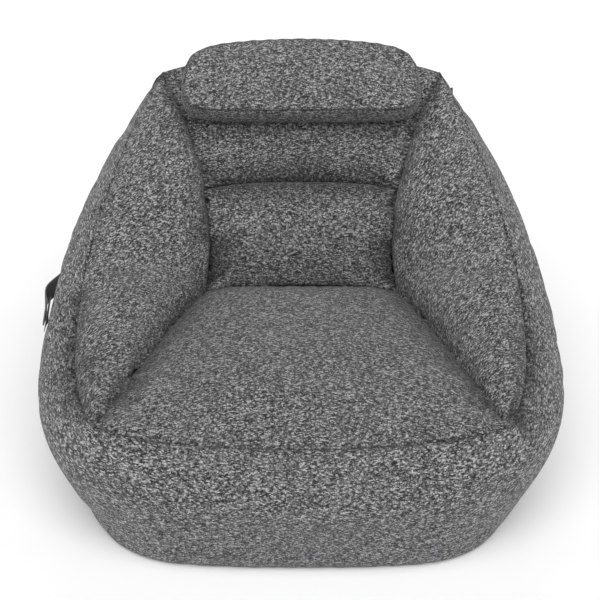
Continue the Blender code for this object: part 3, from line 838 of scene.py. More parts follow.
def unwrap(item: bpy.types.Object, start: Vector, end: Vector, turn: float = 0.0) -> None:
    """Lay a panel flat into its UV map, in metres, as the cloth was cut.

    Args:
        item: An open sheet.
        start: A point near the surface.
        end: Another point; the yarns run from start to end, before the turn.
        turn: Degrees that the yarns are turned on the cloth.
    """
    mesh = item.data
    mesh.uv_layers.new(name=UV_NAME)
    make_active(item)
    bpy.ops.object.mode_set(mode="EDIT")
    bpy.ops.mesh.select_all(action="SELECT")
    bpy.ops.uv.unwrap(method="CONFORMAL", margin=0.0)
    bpy.ops.object.mode_set(mode="OBJECT")
    layer = mesh.uv_layers[UV_NAME]
    spots = {}
    for loop in mesh.loops:
        spots.setdefault(loop.vertex_index, Vector(layer.data[loop.index].uv))
    search = KDTree(len(mesh.vertices))
    for vertex in mesh.vertices:
        search.insert(vertex.co, vertex.index)
    search.balance()
    first, second = search.find(start)[1], search.find(end)[1]
    run = spots[second] - spots[first]
    real = (mesh.vertices[second].co - mesh.vertices[first].co).length
    scale = real / max(run.length, 1e-9)
    angle = math.atan2(run.y, run.x) + math.radians(turn)
    c, s = math.cos(angle) * scale, math.sin(angle) * scale
    for data in layer.data:
        u, v = data.uv
        data.uv = (u * c + v * s, v * c - u * s)


def split_rails(solid: bmesh.types.BMesh, shares: tuple[float, ...]) -> None:
    """Add rows of points along a sheet's edge, on the mesh edges that lead in from it.

    Args:
        solid: The open sheet.
        shares: Places along each such edge, as shares of its length, outermost first.
    """
    rails = {}
    for edge in solid.edges:
        first, second = edge.verts
        if not edge.is_boundary and first.is_boundary != second.is_boundary:
            rails[edge] = (first, second) if first.is_boundary else (second, first)
    belt = {face: [edge for edge in face.edges if edge in rails] for edge in rails
            for face in edge.link_faces}
    stops = {}
    for edge, (outer, inner) in rails.items():
        piece, row = edge, []
        for share in reversed(shares):
            _, corner = bmesh.utils.edge_split(piece, outer, 0.5)
            corner.co = outer.co.lerp(inner.co, share)
            piece = next(part for part in corner.link_edges if outer in part.verts)
            row.insert(0, corner)
        stops[(outer, inner)] = row
    pairs = [[rails[edge] for edge in edges] for edges in belt.values() if len(edges) == 2]
    for (first, second) in pairs:
        for one, two in zip(stops[first], stops[second]):
            shared = set(one.link_faces) & set(two.link_faces)
            if shared:
                bmesh.utils.face_split(shared.pop(), one, two)


def refine_edges(item: bpy.types.Object, roll: SeamRoll) -> None:
    """Give a sheet the rows of points that its rolled edge needs.

    Args:
        item: An open sheet.
        roll: The sizes of the rolled edge.
    """
    solid = bmesh.new()
    solid.from_mesh(item.data)
    split_rails(solid, roll.rows)
    solid.to_mesh(item.data)
    solid.free()


def roll_edges(item: bpy.types.Object, roll: SeamRoll, skin: BVHTree) -> None:
    """Round a sheet's edges in to their seams, add the hidden seam allowance and give it thickness.

    Args:
        item: The refined open sheet, with the skin's "seam" direction and "fold" at each point.
        roll: The sizes of the rolled edge.
        skin: Search tree of the whole skin, which tells how thick it is behind each seam point.
    """
    solid = bmesh.new()
    solid.from_mesh(item.data)
    # This layer holds painted shade: how much the cloth's colour is darkened near its seams, widest and
    # darkest beside deep creases.
    painted_crease_shade = solid.verts.layers.float.new("painted_crease_shade")
    seam = solid.verts.layers.float_vector["seam"]
    fold = solid.verts.layers.float["fold"]
    rim = [vertex for vertex in solid.verts if vertex.is_boundary]
    search = KDTree(len(rim))
    inward, room = {}, {}
    for number, vertex in enumerate(rim):
        search.insert(vertex.co, number)
        centre = Vector()
        for face in vertex.link_faces:
            centre += face.calc_center_median()
        flat = centre / len(vertex.link_faces) - vertex.co
        normal = Vector(vertex[seam])
        inward[vertex] = (flat - normal * flat.dot(normal)).normalized()
        span = skin.ray_cast(vertex.co - normal * roll.thickness, -normal)[3]
        room[vertex] = 1.0 if span is None else span
    search.balance()
    moves = {}
    for vertex in solid.verts:
        _, number, distance = search.find(vertex.co)
        deep = rim[number][fold]
        reach = roll.reach + (roll.crease_reach - roll.reach) * deep
        # Painted shade: darker the nearer the seam, reaching further and darker beside deep folds.
        shaded = roll.painted_shade_reach + (roll.deep_painted_shade_reach - roll.painted_shade_reach) * deep
        vertex[painted_crease_shade] = max(0.0, 1.0 - distance / shaded) ** 1.5 * (0.45 + 0.55 * deep)
        if distance < reach:
            fall = (1.0 - distance / reach) ** 2
            depth = roll.depth + (roll.crease_depth - roll.depth) * deep
            depth = min(depth, room[rim[number]] * roll.depth_share)
            moves[vertex] = -Vector(rim[number][seam]) * depth * fall
    for vertex in rim:
        moves[vertex] += inward[vertex] * roll.gap
    for vertex, move in moves.items():
        vertex.co += move
    edges = [edge for edge in solid.edges if edge.is_boundary]
    made = bmesh.ops.extrude_edge_only(solid, edges=edges)
    for part in made["geom"]:
        if isinstance(part, bmesh.types.BMVert):
            _, number, _ = search.find(part.co)
            part.co -= Vector(part[seam]) * min(roll.flange, room[rim[number]] * roll.flange_share)
            # The hidden seam allowance gets the full painted shade.
            part[painted_crease_shade] = 1.0
    bmesh.ops.recalc_face_normals(solid, faces=solid.faces)
    middle = max(solid.faces, key=lambda face: face.calc_area())
    if middle.normal.dot(Vector(middle.verts[0][seam])) < 0.0:
        bmesh.ops.reverse_faces(solid, faces=solid.faces)
    solid.to_mesh(item.data)
    solid.free()
    for label in ("seam", "fold"):
        item.data.attributes.remove(item.data.attributes[label])
    wall = item.modifiers.new("wall", "SOLIDIFY")
    wall.thickness = roll.thickness
    wall.offset = -1.0
    apply_modifiers(item)
    for vertex in item.data.vertices:
        nearest, outward, _, _ = skin.find_nearest(vertex.co)
        if (vertex.co - nearest).dot(outward) > roll.proud:
            vertex.co = nearest - outward * roll.proud
    item.data.shade_smooth()


@dataclass(frozen=True)
class PanelPlan:
    """One sewn panel: what it is called, what it stands for and how its yarns run."""

    name: str
    replaces: tuple[str, ...]
    start: tuple[float, float, float]
    end: tuple[float, float, float]
    turn: float = 0.0


def dress_panels(skin: bpy.types.Object, panels: list[str], plans: dict[str, PanelPlan],
                 materials: dict[str, bpy.types.Material], body: Body) -> dict[str, bpy.types.Object]:
    """Cut a skin into its panels, finish each one and hang it on its body.

    Args:
        skin: The inflated skin, removed at the end.
        panels: The node names in the order of the skin's numbers.
        plans: Node name to plan.
        materials: Node name to material.
        body: What the panels ride on.

    Returns:
        The finished pieces by node name.
    """
    made = {}
    roll = SeamRoll()
    whole = tree_of(skin)
    for number, panel in enumerate(panels):
        plan = plans[panel]
        piece = cut_panel(skin, number, plan.name)
        refine_edges(piece, roll)
        unwrap(piece, Vector(plan.start), Vector(plan.end), plan.turn)
        roll_edges(piece, roll, whole)
        for vertex in piece.data.vertices:
            vertex.co.z = max(vertex.co.z, 0.0)
        piece.data.materials.append(materials[panel])
        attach(piece, body.value)
        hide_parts(*plan.replaces)
        made[panel] = piece
        LOG.info("%s: %d faces", piece.name, len(piece.data.polygons))
    bpy.data.objects.remove(skin, do_unlink=True)
    return made


@dataclass
class Cover:
    """The chair's sewn cover: seat, back, arms, the wrap round the outside, rear and base."""

    plans: tuple[PanelPlan, ...] = (
        PanelPlan("seat_cover", ("seat_panel", "seat_fill"), (-0.20, -0.15, 0.30),
                  (0.20, -0.15, 0.30)),
        PanelPlan("lumbar_cover", ("lumbar_panel",), (-0.12, 0.12, 0.38), (0.12, 0.12, 0.38)),
        PanelPlan("upper_back_cover", ("upper_back_panel", "back_fill"), (-0.15, 0.24, 0.54),
                  (0.15, 0.24, 0.54)),
        PanelPlan("arm_cover_left", ("arm_panel_left", "arm_fill_left"), (-0.30, -0.15, 0.36),
                  (-0.30, 0.10, 0.46), 55.0),
        PanelPlan("arm_cover_right", ("arm_panel_right", "arm_fill_right"), (0.30, -0.15, 0.36),
                  (0.30, 0.10, 0.46), -55.0),
        PanelPlan("outer_wrap_cover", ("outer_wrap",), (-0.20, -0.44, 0.15), (0.20, -0.44, 0.15)),
        PanelPlan("rear_cover", ("rear_panel",), (-0.20, 0.44, 0.30), (0.20, 0.44, 0.30)),
        PanelPlan("base_cover", ("base_panel",), (-0.20, 0.0, 0.0), (0.20, 0.0, 0.0)),
    )
    fill: float = 0.75

    def build(self, nodes: dict[str, bpy.types.Object],
              materials: dict[str, bpy.types.Material]) -> dict[str, bpy.types.Object]:
        """Make all the panels.

        Args:
            nodes: The frame's nodes by name.
            materials: Finished materials by name.

        Returns:
            The pieces by the node that each one stands for.
        """
        panels = [plan.replaces[0] for plan in self.plans]
        core = bmesh.new()
        for name in ("seat_fill", "back_fill", "arm_fill_left", "arm_fill_right"):
            core.from_mesh(nodes[name].data)
        core_tree = BVHTree.FromBMesh(core)
        core.free()
        still = []
        for name in ("headrest_flap", "zip_tape_upper", "zip_tape_lower", "handle_patch_front",
                     "handle_patch_rear", "handle_strap"):
            low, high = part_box(name)
            margin = Vector((0.012, 0.020, 0.012))
            still.append((low - margin, high + margin))
        skin = Skin("chair_skin", panels, still_boxes=still, still_panels=["base_panel"],
                    calm={"upper_back_panel": 0.4}).build(
            nodes, core_tree)
        finishes = {panel: materials["base" if panel == "base_panel" else "cover"]
                    for panel in panels}
        return dress_panels(skin, panels, {plan.replaces[0]: plan for plan in self.plans}, finishes,
                            Body.CHAIR)


@dataclass
class Headrest:
    """The pillow that hangs over the top of the back."""

    plans: tuple[PanelPlan, ...] = (
        PanelPlan("headrest_front_cover", ("headrest_front_panel", "headrest_fill"),
                  (-0.10, 0.22, 0.66), (0.10, 0.22, 0.66)),
        PanelPlan("headrest_boxing_cover", ("headrest_boxing",), (-0.10, 0.20, 0.58),
                  (0.10, 0.20, 0.58)),
        PanelPlan("headrest_back_cover", ("headrest_back_panel",), (-0.10, 0.27, 0.61),
                  (0.10, 0.27, 0.61)),
    )
    fill: float = 0.6

    def build(self, nodes: dict[str, bpy.types.Object],
              materials: dict[str, bpy.types.Material]) -> dict[str, bpy.types.Object]:
        """Make the pillow's three panels; returns them by node name.

        Args:
            nodes: The frame's nodes by name.
            materials: Finished materials by name.

        Returns:
            The pieces by the node that each one stands for.
        """
        panels = [plan.replaces[0] for plan in self.plans]
        skin = Skin("headrest_skin", panels, cap=0.006, levels=1, firm=1).build(
            nodes, tree_of(nodes["headrest_fill"]))
        finishes = {panel: materials["cover"] for panel in panels}
        return dress_panels(skin, panels, {plan.replaces[0]: plan for plan in self.plans}, finishes,
                            Body.HEADREST)


# ---- trim ---------------------------------------------------------------------------------------

def finish_piece(item: bpy.types.Object, material: bpy.types.Material, body: Body,
                 replaces: tuple[str, ...] = (), smooth: float = 40.0) -> bpy.types.Object:
    """Give a piece its material, shading, body and the nodes it stands for.

    Args:
        item: The piece, with its place in its mesh.
        material: Its finish.
        body: What it rides on.
        replaces: Frame nodes that it stands for.
        smooth: Sharpest angle in degrees that is shaded smooth.

    Returns:
        The piece.
    """
    item.data.materials.clear()
    item.data.materials.append(material)
    make_active(item)
    bpy.ops.object.shade_smooth_by_angle(angle=math.radians(smooth))
    deselect()
    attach(item, body.value)
    if replaces:
        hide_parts(*replaces)
    LOG.info("%s: %d faces", item.name, len(item.data.polygons))
    return item


def sheet_from(name: str, grid: list[list[Vector]], thickness: float) -> bpy.types.Object:
    """Closed sheet of cloth over a grid of points.

    Args:
        name: Object name.
        grid: Rows of points; the sheet's outer side is where row cross column points.
        thickness: Cloth thickness, put on the inner side.

    Returns:
        The new object.
    """
    solid = bmesh.new()
    rows, columns = len(grid), len(grid[0])
    outer, inner, middle = {}, {}, {}
    for r in range(rows):
        for c in range(columns):
            across = grid[r][min(c + 1, columns - 1)] - grid[r][max(c - 1, 0)]
            along = grid[min(r + 1, rows - 1)][c] - grid[max(r - 1, 0)][c]
            normal = across.cross(along).normalized()
            outer[r, c] = solid.verts.new(grid[r][c])
            inner[r, c] = solid.verts.new(grid[r][c] - normal * thickness)
            out = Vector()
            out += across.normalized() * ((c == columns - 1) - (c == 0))
            out += along.normalized() * ((r == rows - 1) - (r == 0))
            if out.length > 0.0:
                middle[r,
                       c] = solid.verts.new(grid[r][c] + (out.normalized() - normal) * thickness
                                            * 0.5)
    for r in range(rows - 1):
        for c in range(columns - 1):
            ring = ((r, c), (r, c + 1), (r + 1, c + 1), (r + 1, c))
            solid.faces.new([outer[key] for key in ring])
            solid.faces.new([inner[key] for key in reversed(ring)])
    loop = [(0, c) for c in range(columns)] + [(r, columns - 1) for r in range(1, rows)]
    loop += [(rows - 1, c) for c in range(columns - 2, -1, -1)] + [(r, 0)
                                                                   for r in range(rows - 2, 0, -1)]
    for here, there in zip(loop, loop[1:] + loop[:1]):
        solid.faces.new((outer[there], outer[here], middle[here], middle[there]))
        solid.faces.new((middle[there], middle[here], inner[here], inner[there]))
    bmesh.ops.recalc_face_normals(solid, faces=solid.faces)
    return object_from(name, solid)


def edit(item: bpy.types.Object) -> bmesh.types.BMesh:
    """Enter edit mode with nothing selected and return the edit mesh.

    Args:
        item: The object to edit.

    Returns:
        The live edit mesh.
    """
    make_active(item)
    bpy.ops.object.mode_set(mode="EDIT")
    bpy.ops.mesh.select_all(action="DESELECT")
    solid = bmesh.from_edit_mesh(item.data)
    solid.faces.ensure_lookup_table()
    return solid


def leave_edit() -> None:
    """Back to object mode."""
    bpy.ops.object.mode_set(mode="OBJECT")


def settle(item: bpy.types.Object) -> None:
    """Put the object's place, turn and scale into its mesh."""
    make_active(item)
    bpy.ops.object.transform_apply(location=True, rotation=True, scale=True)


def block(name: str, low: Vector, high: Vector, bevel: float,
          segments: int = 2) -> bpy.types.Object:
    """Rounded block between two corners, from a cube whose edges are beveled.

    Args:
        name: The object's name.
        low: Lowest corner.
        high: Highest corner.
        bevel: Width of the rounding.
        segments: Steps of the rounding.

    Returns:
        The new object.
    """
    deselect()
    bpy.ops.mesh.primitive_cube_add(size=1.0, location=(low + high) / 2)
    item = bpy.context.active_object
    item.name = name
    item.scale = high - low
    settle(item)
    edit(item)
    bpy.ops.mesh.select_all(action="SELECT")
    bpy.ops.mesh.bevel(offset=bevel, segments=segments, profile=0.5)
    leave_edit()
    return item


def join(name: str, items: list[bpy.types.Object]) -> bpy.types.Object:
    """Join objects into the first one and rename it.

    Args:
        name: Name of the result.
        items: The objects, the first of which stays.

    Returns:
        The joined object.
    """
    deselect()
    for item in items:
        item.select_set(True)
    bpy.context.view_layer.objects.active = items[0]
    if len(items) > 1:
        bpy.ops.object.join()
    items[0].name = name
    deselect()
    return items[0]


def rod_master(name: str, radius: float, length: float) -> bpy.types.Object:
    """Short round-ended rod along X at the origin, to be copied: a stitch or a coil tooth.

    Args:
        name: The object's name.
        radius: The rod's radius.
        length: Its length, ends included.

    Returns:
        The rod.
    """
    deselect()
    bpy.ops.mesh.primitive_cylinder_add(vertices=8, radius=radius, depth=length)
    item = bpy.context.active_object
    item.name = name
    item.rotation_euler = (0.0, math.radians(90.0), 0.0)
    settle(item)
    solid = edit(item)
    for face in solid.faces:
        face.select = len(face.verts) > 4
    bmesh.update_edit_mesh(item.data)
    bpy.ops.mesh.bevel(offset=radius * 0.6, segments=1)
    leave_edit()
    return item


def copies(name: str, master: bpy.types.Object, places: list[Matrix]) -> bpy.types.Object:
    """One object made of copies of a master's mesh; the master is removed.

    Args:
        name: Name of the result.
        master: The piece to repeat.
        places: One matrix per copy.

    Returns:
        The new object.
    """
    solid = bmesh.new()
    for place in places:
        single = master.data.copy()
        single.transform(place)
        solid.from_mesh(single)
        bpy.data.meshes.remove(single)
    bpy.data.objects.remove(master, do_unlink=True)
    return object_from(name, solid)


def frame_at(place: Vector, along: Vector, out: Vector) -> Matrix:
    """Matrix that puts X along a run and Z out of a surface at a place.

    Args:
        place: The origin.
        along: The run.
        out: The surface's normal.

    Returns:
        The matrix.
    """
    z = out.normalized()
    x = (along - z * along.dot(z)).normalized()
    y = z.cross(x)
    return Matrix.Translation(place) @ Matrix((x, y, z)).transposed().to_4x4()


def stitch_line(tree: BVHTree, start: Vector, end: Vector, look: Vector, pitch: float = 0.0042,
                lift: float = 0.0002) -> list[Matrix]:
    """Places of stitches along a straight line that is laid onto a surface.

    Args:
        tree: The surface's search tree.
        start: Start of the line, off the surface.
        end: Its end.
        look: Direction in which the line is laid onto the surface.
        pitch: From one stitch to the next.
        lift: How far a stitch's middle stands off the surface.

    Returns:
        One matrix per stitch.
    """
    count = max(1, round((end - start).length / pitch))
    spots = []
    for k in range(count):
        point = start.lerp(end, (k + 0.5) / count)
        hit, normal, _, _ = tree.ray_cast(point, look)
        if hit is not None:
            spots.append(frame_at(hit + normal * lift, end - start, normal))
    return spots


def softened(node: bpy.types.Object, name: str, levels: int = 2,
             crease: float = 0.55) -> bpy.types.Object:
    """Rounded copy of a thin solid: its sharp edges are partly creased, the rest is smoothed.

    Args:
        node: A frame node.
        name: Name of the copy.
        levels: Subdivision levels.
        crease: How much of a sharp edge is kept.

    Returns:
        The new object.
    """
    solid = merged_copy(node)
    bmesh.ops.join_triangles(solid, faces=solid.faces, angle_face_threshold=0.7,
                             angle_shape_threshold=1.5)
    layer = solid.edges.layers.float.new("crease_edge")
    for edge in solid.edges:
        if edge.calc_face_angle(0.0) > math.radians(50.0):
            edge[layer] = crease
    item = object_from(name, solid)
    rounding = item.modifiers.new("rounding", "SUBSURF")
    rounding.levels = rounding.render_levels = levels
    apply_modifiers(item)
    return item


@dataclass
class CarryHandle:
    """Webbing handle on the left side, sewn down over two patches with boxed cross stitches."""

    inset: float = 0.0035
    sewn: float = 0.026
    half_box: float = 0.0125
    clear: float = 0.05
    pitch: float = 0.0036
    thread: float = 0.00042
    stitch: float = 0.0030

    def build(self, nodes: dict[str, bpy.types.Object],
              materials: dict[str, bpy.types.Material]) -> None:
        """Make the strap, the patches and their stitching.

        Args:
            nodes: The frame's nodes by name.
            materials: Finished materials by name.
        """
        strap = softened(nodes["handle_strap"], "handle_webbing")
        tree = tree_of(strap)
        finish_piece(strap, materials["webbing"], Body.CHAIR, ("handle_strap",), 50.0)
        for end in ("front", "rear"):
            patch = softened(nodes["handle_patch_" + end], "handle_reinforcement_" + end)
            finish_piece(patch, materials["webbing"], Body.CHAIR,
                         ("handle_patch_" + end,), 50.0)
        low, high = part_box("handle_strap")
        middle = (low.z + high.z) / 2
        half = self.half_box
        spots = []
        outside, look = low.x - self.clear, Vector((1.0, 0.0, 0.0))
        for first, last in ((low.y + self.inset, low.y + self.sewn),
                            (high.y - self.sewn, high.y - self.inset)):
            corners = [Vector((outside, y, middle + z)) for y, z in
                       ((first, -half), (last, -half), (last, half), (first, half))]
            runs = list(zip(corners, corners[1:] + corners[:1])) + [(corners[0], corners[2]),
                                                                   (corners[1], corners[3])]
            for start, end_point in runs:
                spots += stitch_line(tree, start, end_point, look, self.pitch)
        stitches = copies("handle_stitching", rod_master("stitch", self.thread, self.stitch), spots)
        finish_piece(stitches, materials["thread"], Body.CHAIR)


def laid_on(tree: BVHTree, x: float, z: float, lift: float) -> Vector:
    """Point on the rear cover at a place across and a height, lifted off it.

    Args:
        tree: Search tree of the rear cover.
        x: Place across.
        z: Height.
        lift: Distance off the cover.

    Returns:
        The point.
    """
    hit, normal, _, _ = tree.ray_cast(Vector((x, 1.0, z)), Vector((0.0, -1.0, 0.0)))
    return hit + normal * lift


@dataclass
class Flap:
    """Cloth flap from the pillow's top edge over the back's top and down the rear."""

    columns: int = 29
    rows: int = 26
    over_rows: int = 7
    thickness: float = 0.0018
    hem: float = 0.006
    sag: float = 0.004
    join_rows: int = 3
    tuck: float = 0.006
    lift: float = 0.0055
    crest_margin: float = 0.012
    side_margin: float = 0.0008
    foot_margin: float = 0.002
    head_margin: float = 0.014
    arch_rise: float = 0.0035
    arch_back: float = 0.35
    clear: float = 0.6
    thread: float = 0.0004
    stitch: float = 0.0032
    strip_cells: tuple[int, int] = (24, 8)
    strip_lifts: tuple[float, float] = (0.0017, 0.0033)
    strip_thickness: float = 0.0014

    def build(self, materials: dict[str, bpy.types.Material], hinge: Vector,
              pillow: bpy.types.Object, rear: bpy.types.Object) -> None:
        """Make the flap, its edge stitching and its closure.

        Args:
            materials: Finished materials by name.
            hinge: A point on the pillow's hinge line.
            pillow: The pillow's back cover, whose upper seam the flap is sewn into.
            rear: The chair's rear cover, which the flap and its closure lie on.
        """
        search = KDTree(len(pillow.data.vertices))
        for vertex in pillow.data.vertices:
            search.insert(vertex.co, vertex.index)
        search.balance()
        low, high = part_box("headrest_flap")
        tree = tree_of(rear)
        crest = max(vertex.co.z for vertex in rear.data.vertices) - self.crest_margin
        look = Vector((0.0, -1.0, 0.0))
        grid = []
        for k in range(self.columns):
            x = low.x + self.side_margin + (high.x - low.x - 2.0
                                            * self.side_margin) * k / (self.columns - 1)
            column = []
            for i in range(self.rows):
                z = (low.z + self.foot_margin
                     + (crest - low.z - self.foot_margin) * i / (self.rows - 1))
                column.append(laid_on(tree, x, z, self.lift))
            top = column[-1]
            end = Vector((x, hinge.y, hinge.z - self.sag * (x / high.x) ** 2))
            for i in range(1, self.over_rows + 1):
                t = i / self.over_rows
                arch = math.sin(t * math.pi) * self.arch_rise
                column.append(top.lerp(end, t) + Vector((0.0, self.arch_back * arch, arch)))
            seam = search.find(Vector((x, hinge.y, hinge.z)))[0].copy()
            seam.x = x
            for i in range(1, self.join_rows + 1):
                column.append(end.lerp(seam, i / self.join_rows))
            column.append(seam - Vector((0.0, self.tuck, 0.0)))
            grid.append(column)
        flap = sheet_from("headrest_flap_cloth", grid, self.thickness)
        layer = flap.data.uv_layers.new(name=UV_NAME)
        for loop in flap.data.loops:
            point = flap.data.vertices[loop.vertex_index].co
            layer.data[loop.index].uv = (point.x, point.z * 1.1 - point.y * 0.4)
        flap.data.materials.append(materials["cover"])
        make_active(flap)
        bpy.ops.object.shade_smooth_by_angle(angle=math.radians(50.0))
        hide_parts("headrest_flap")
        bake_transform(flap, Body.CHAIR.value, Body.HEADREST.value,
                 start=(0.0, hinge.y + 0.008, hinge.z - 0.008),
                 end=(0.0, hinge.y - 0.003, hinge.z + 0.001))
        skin = tree_of(flap)
        spots = []
        out = self.clear
        left, right = low.x + self.hem, high.x - self.hem
        foot, head = low.z + self.hem, high.z - self.head_margin
        for start, stop in (((left, foot), (left, head)), ((right, foot), (right, head)),
                            ((left, foot), (right, foot))):
            spots += stitch_line(skin, Vector((start[0], out, start[1])),
                                 Vector((stop[0], out, stop[1])), look)
        stitches = copies("flap_stitching", rod_master("stitch", self.thread, self.stitch), spots)
        finish_piece(stitches, materials["thread"], Body.CHAIR)
        strips = sorted(("flap_hook_strip", "flap_loop_strip"), key=lambda name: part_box(name)[1].y)
        for name, lift in zip(strips, self.strip_lifts):
            low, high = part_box(name)
            across, up = self.strip_cells
            grid = [[laid_on(tree, low.x + (high.x - low.x) * k / across,
                             low.z + (high.z - low.z) * i / up, lift)
                     for i in range(up + 1)] for k in range(across + 1)]
            strip = sheet_from(name.replace("_strip", "_tape"), grid, self.strip_thickness)
            finish_piece(strip, materials["pile"], Body.CHAIR, (name,), 50.0)


@dataclass
class FillingZip:
    """Zip across the rear: tapes that rise from the cloth, coil, stops, slider and pull tab."""

    tape_columns: int = 57
    tooth_pitch: float = 0.0021
    tape_rows: int = 6
    tape_sink: float = 0.0006
    tape_thickness: float = 0.0009
    roof: float = 0.0028
    plate: float = 0.0013
    guard: float = 0.0012
    guard_inset: float = 0.0006
    eye: float = 0.0078
    eye_rim: float = 0.0013
    grip_rim: float = 0.0011
    grip_depth: float = 0.00025

    def tapes(self, materials: dict[str, bpy.types.Material], rear: BVHTree) -> None:
        """Two tapes, each from the coil's straight line out to the rear panel's curved surface.

        Args:
            materials: Finished materials by name.
            rear: Search tree of the rear cover.
        """
        look = Vector((0.0, -1.0, 0.0))
        for name, sign in (("upper", 1.0), ("lower", -1.0)):
            low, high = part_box("zip_tape_" + name)
            near, far = (low.z, high.z) if sign > 0 else (high.z, low.z)
            grid = []
            for k in range(self.tape_columns):
                x = low.x + (high.x - low.x) * k / (self.tape_columns - 1)
                outer = rear.ray_cast(Vector((x, 1.0, far)), look)[0]
                row = []
                for i in range(self.tape_rows + 1):
                    t = i / self.tape_rows
                    y = high.y + (outer.y - self.tape_sink - high.y) * (t * t * (3.0 - 2.0 * t))
                    row.append(Vector((x, y, near + (far - near) * t)))
                grid.append(row if sign > 0 else row[::-1])
            tape = sheet_from("zip_tape_strip_" + name, grid, self.tape_thickness)
            finish_piece(tape, materials["zip_tape"], Body.CHAIR,
                         ("zip_tape_" + name,), 50.0)

    def coil(self, materials: dict[str, bpy.types.Material]) -> None:
        """Two rows of interleaved coil teeth.

        Args:
            materials: Finished materials by name.
        """
        for name, shift in (("upper", 0.0), ("lower", 0.5)):
            low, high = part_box("zip_coil_" + name)
            middle = (low + high) / 2
            count = int((high.x - low.x) / self.tooth_pitch)
            size = high - low
            spots = []
            for k in range(count):
                x = low.x + (k + 0.25 + shift) * (high.x - low.x) / count
                spots.append(frame_at(Vector((x, middle.y, middle.z)), Vector((0.12, 0.0, 1.0)),
                                      Vector((0.0, 1.0, 0.0))))
            teeth = copies("zip_coil_teeth_" + name,
                           rod_master("tooth", size.y * 0.42, size.z * 1.05), spots)
            finish_piece(teeth, materials["coil"], Body.CHAIR, ("zip_coil_" + name,),
                         60.0)

    def stops(self, materials: dict[str, bpy.types.Material]) -> None:
        """Pressed metal stops at both ends.

        Args:
            materials: Finished materials by name.
        """
        for name in ("zip_top_stop", "zip_bottom_stop"):
            low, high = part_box(name)
            stop = block(name + "_clamp", low, high, 0.0005, 3)
            finish_piece(stop, materials["zip_metal"], Body.CHAIR, (name,))

    def slider(self, materials: dict[str, bpy.types.Material]) -> None:
        """Slider body, narrower at its rear, with side guards and an arched crown.

        Args:
            materials: Finished materials by name.
        """
        low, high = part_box("zip_slider")
        middle = (low + high) / 2
        roof = low.y + self.roof
        plate = block("plate", Vector((low.x, roof, low.z)),
                      Vector((high.x, roof + self.plate, high.z)), 0.0005, 3)
        guards = [block("guard", Vector((low.x + self.guard_inset, low.y, low.z)),
                        Vector((high.x - self.guard_inset, roof + self.guard_inset,
                                low.z + self.guard)), 0.0003),
                  block("guard", Vector((low.x + self.guard_inset, low.y, high.z - self.guard)),
                        Vector((high.x - self.guard_inset, roof + self.guard_inset, high.z)),
                        0.0003)]
        for vertex in plate.data.vertices:
            share = (vertex.co.x - low.x) / (high.x - low.x)
            vertex.co.z = middle.z + (vertex.co.z - middle.z) * (0.72 + 0.28 * share)
        deselect()
        bpy.ops.mesh.primitive_torus_add(major_radius=0.0034, minor_radius=0.0006,
                                         major_segments=28,
                                         minor_segments=8,
                                         location=(middle.x, roof + 0.0010, middle.z))
        crown = bpy.context.active_object
        settle(crown)
        edit(crown)
        bpy.ops.mesh.select_all(action="SELECT")
        bpy.ops.mesh.bisect(plane_co=(middle.x, roof + 0.0008, middle.z), plane_no=(0.0, 1.0, 0.0),
                            clear_inner=True, use_fill=True)
        leave_edit()
        for vertex in crown.data.vertices:
            vertex.co.y = (roof + 0.0008
                           + (vertex.co.y - roof - 0.0008) * (high.y - roof - 0.0008) / 0.0042)
        slider = join("zip_slider_body", [plate, *guards, crown])
        finish_piece(slider, materials["zip_metal"], Body.SLIDER, ("zip_slider",))

    def puller(self, materials: dict[str, bpy.types.Material]) -> None:
        """Pull tab: a rounded tongue with an eye at the crown and a raised rim at the grip.

        Args:
            materials: Finished materials by name.
        """
        low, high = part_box("zip_puller")
        middle = (low + high) / 2
        eye = self.eye
        deselect()
        bpy.ops.mesh.primitive_cube_add(size=1.0, location=middle)
        tab = bpy.context.active_object
        tab.scale = high - low
        settle(tab)
        edit(tab)
        bpy.ops.mesh.select_all(action="SELECT")
        bpy.ops.mesh.bisect(plane_co=(high.x - eye, 0.0, 0.0), plane_no=(1.0, 0.0, 0.0))
        solid = bmesh.from_edit_mesh(tab.data)
        for side in (1.0, -1.0):
            for span, inset, depth in (((high.x - eye, high.x), self.eye_rim, 0.0),
                                       ((low.x, high.x - eye), self.grip_rim, -self.grip_depth)):
                bpy.ops.mesh.select_all(action="DESELECT")
                for face in solid.faces:
                    place = face.calc_center_median()
                    face.select = face.normal.y * side > 0.9 and span[0] < place.x < span[1] \
                        and face.calc_area() > 0.00002
                bmesh.update_edit_mesh(tab.data)
                bpy.ops.mesh.inset(thickness=inset, depth=depth)
                solid = bmesh.from_edit_mesh(tab.data)
        bpy.ops.mesh.select_all(action="DESELECT")
        eyes = [face for face in solid.faces if abs(face.normal.y) > 0.9
                and abs(face.calc_center_median().x - (high.x - eye / 2)) < 0.0006
                and abs(face.calc_center_median().z - middle.z) < 0.0004]
        for face in eyes:
            face.select = True
        bmesh.update_edit_mesh(tab.data)
        bpy.ops.mesh.bridge_edge_loops()
        bpy.ops.mesh.select_all(action="DESELECT")
        leave_edit()
        rounding = tab.modifiers.new("rounding", "BEVEL")
        rounding.width = 0.00035
        rounding.segments = 3
        rounding.limit_method = "ANGLE"
        apply_modifiers(tab)
        tab.name = "zip_pull_tab"
        finish_piece(tab, materials["zip_metal"], Body.PULLER, ("zip_puller",))

    def build(self, materials: dict[str, bpy.types.Material], rear: BVHTree) -> None:
        """Make every piece of the zip.

        Args:
            materials: Finished materials by name.
            rear: Search tree of the rear panel's cloth.
        """
        self.tapes(materials, rear)
        self.coil(materials)
        self.stops(materials)
        self.slider(materials)
        self.puller(materials)


# ---- studio -------------------------------------------------------------------------------------

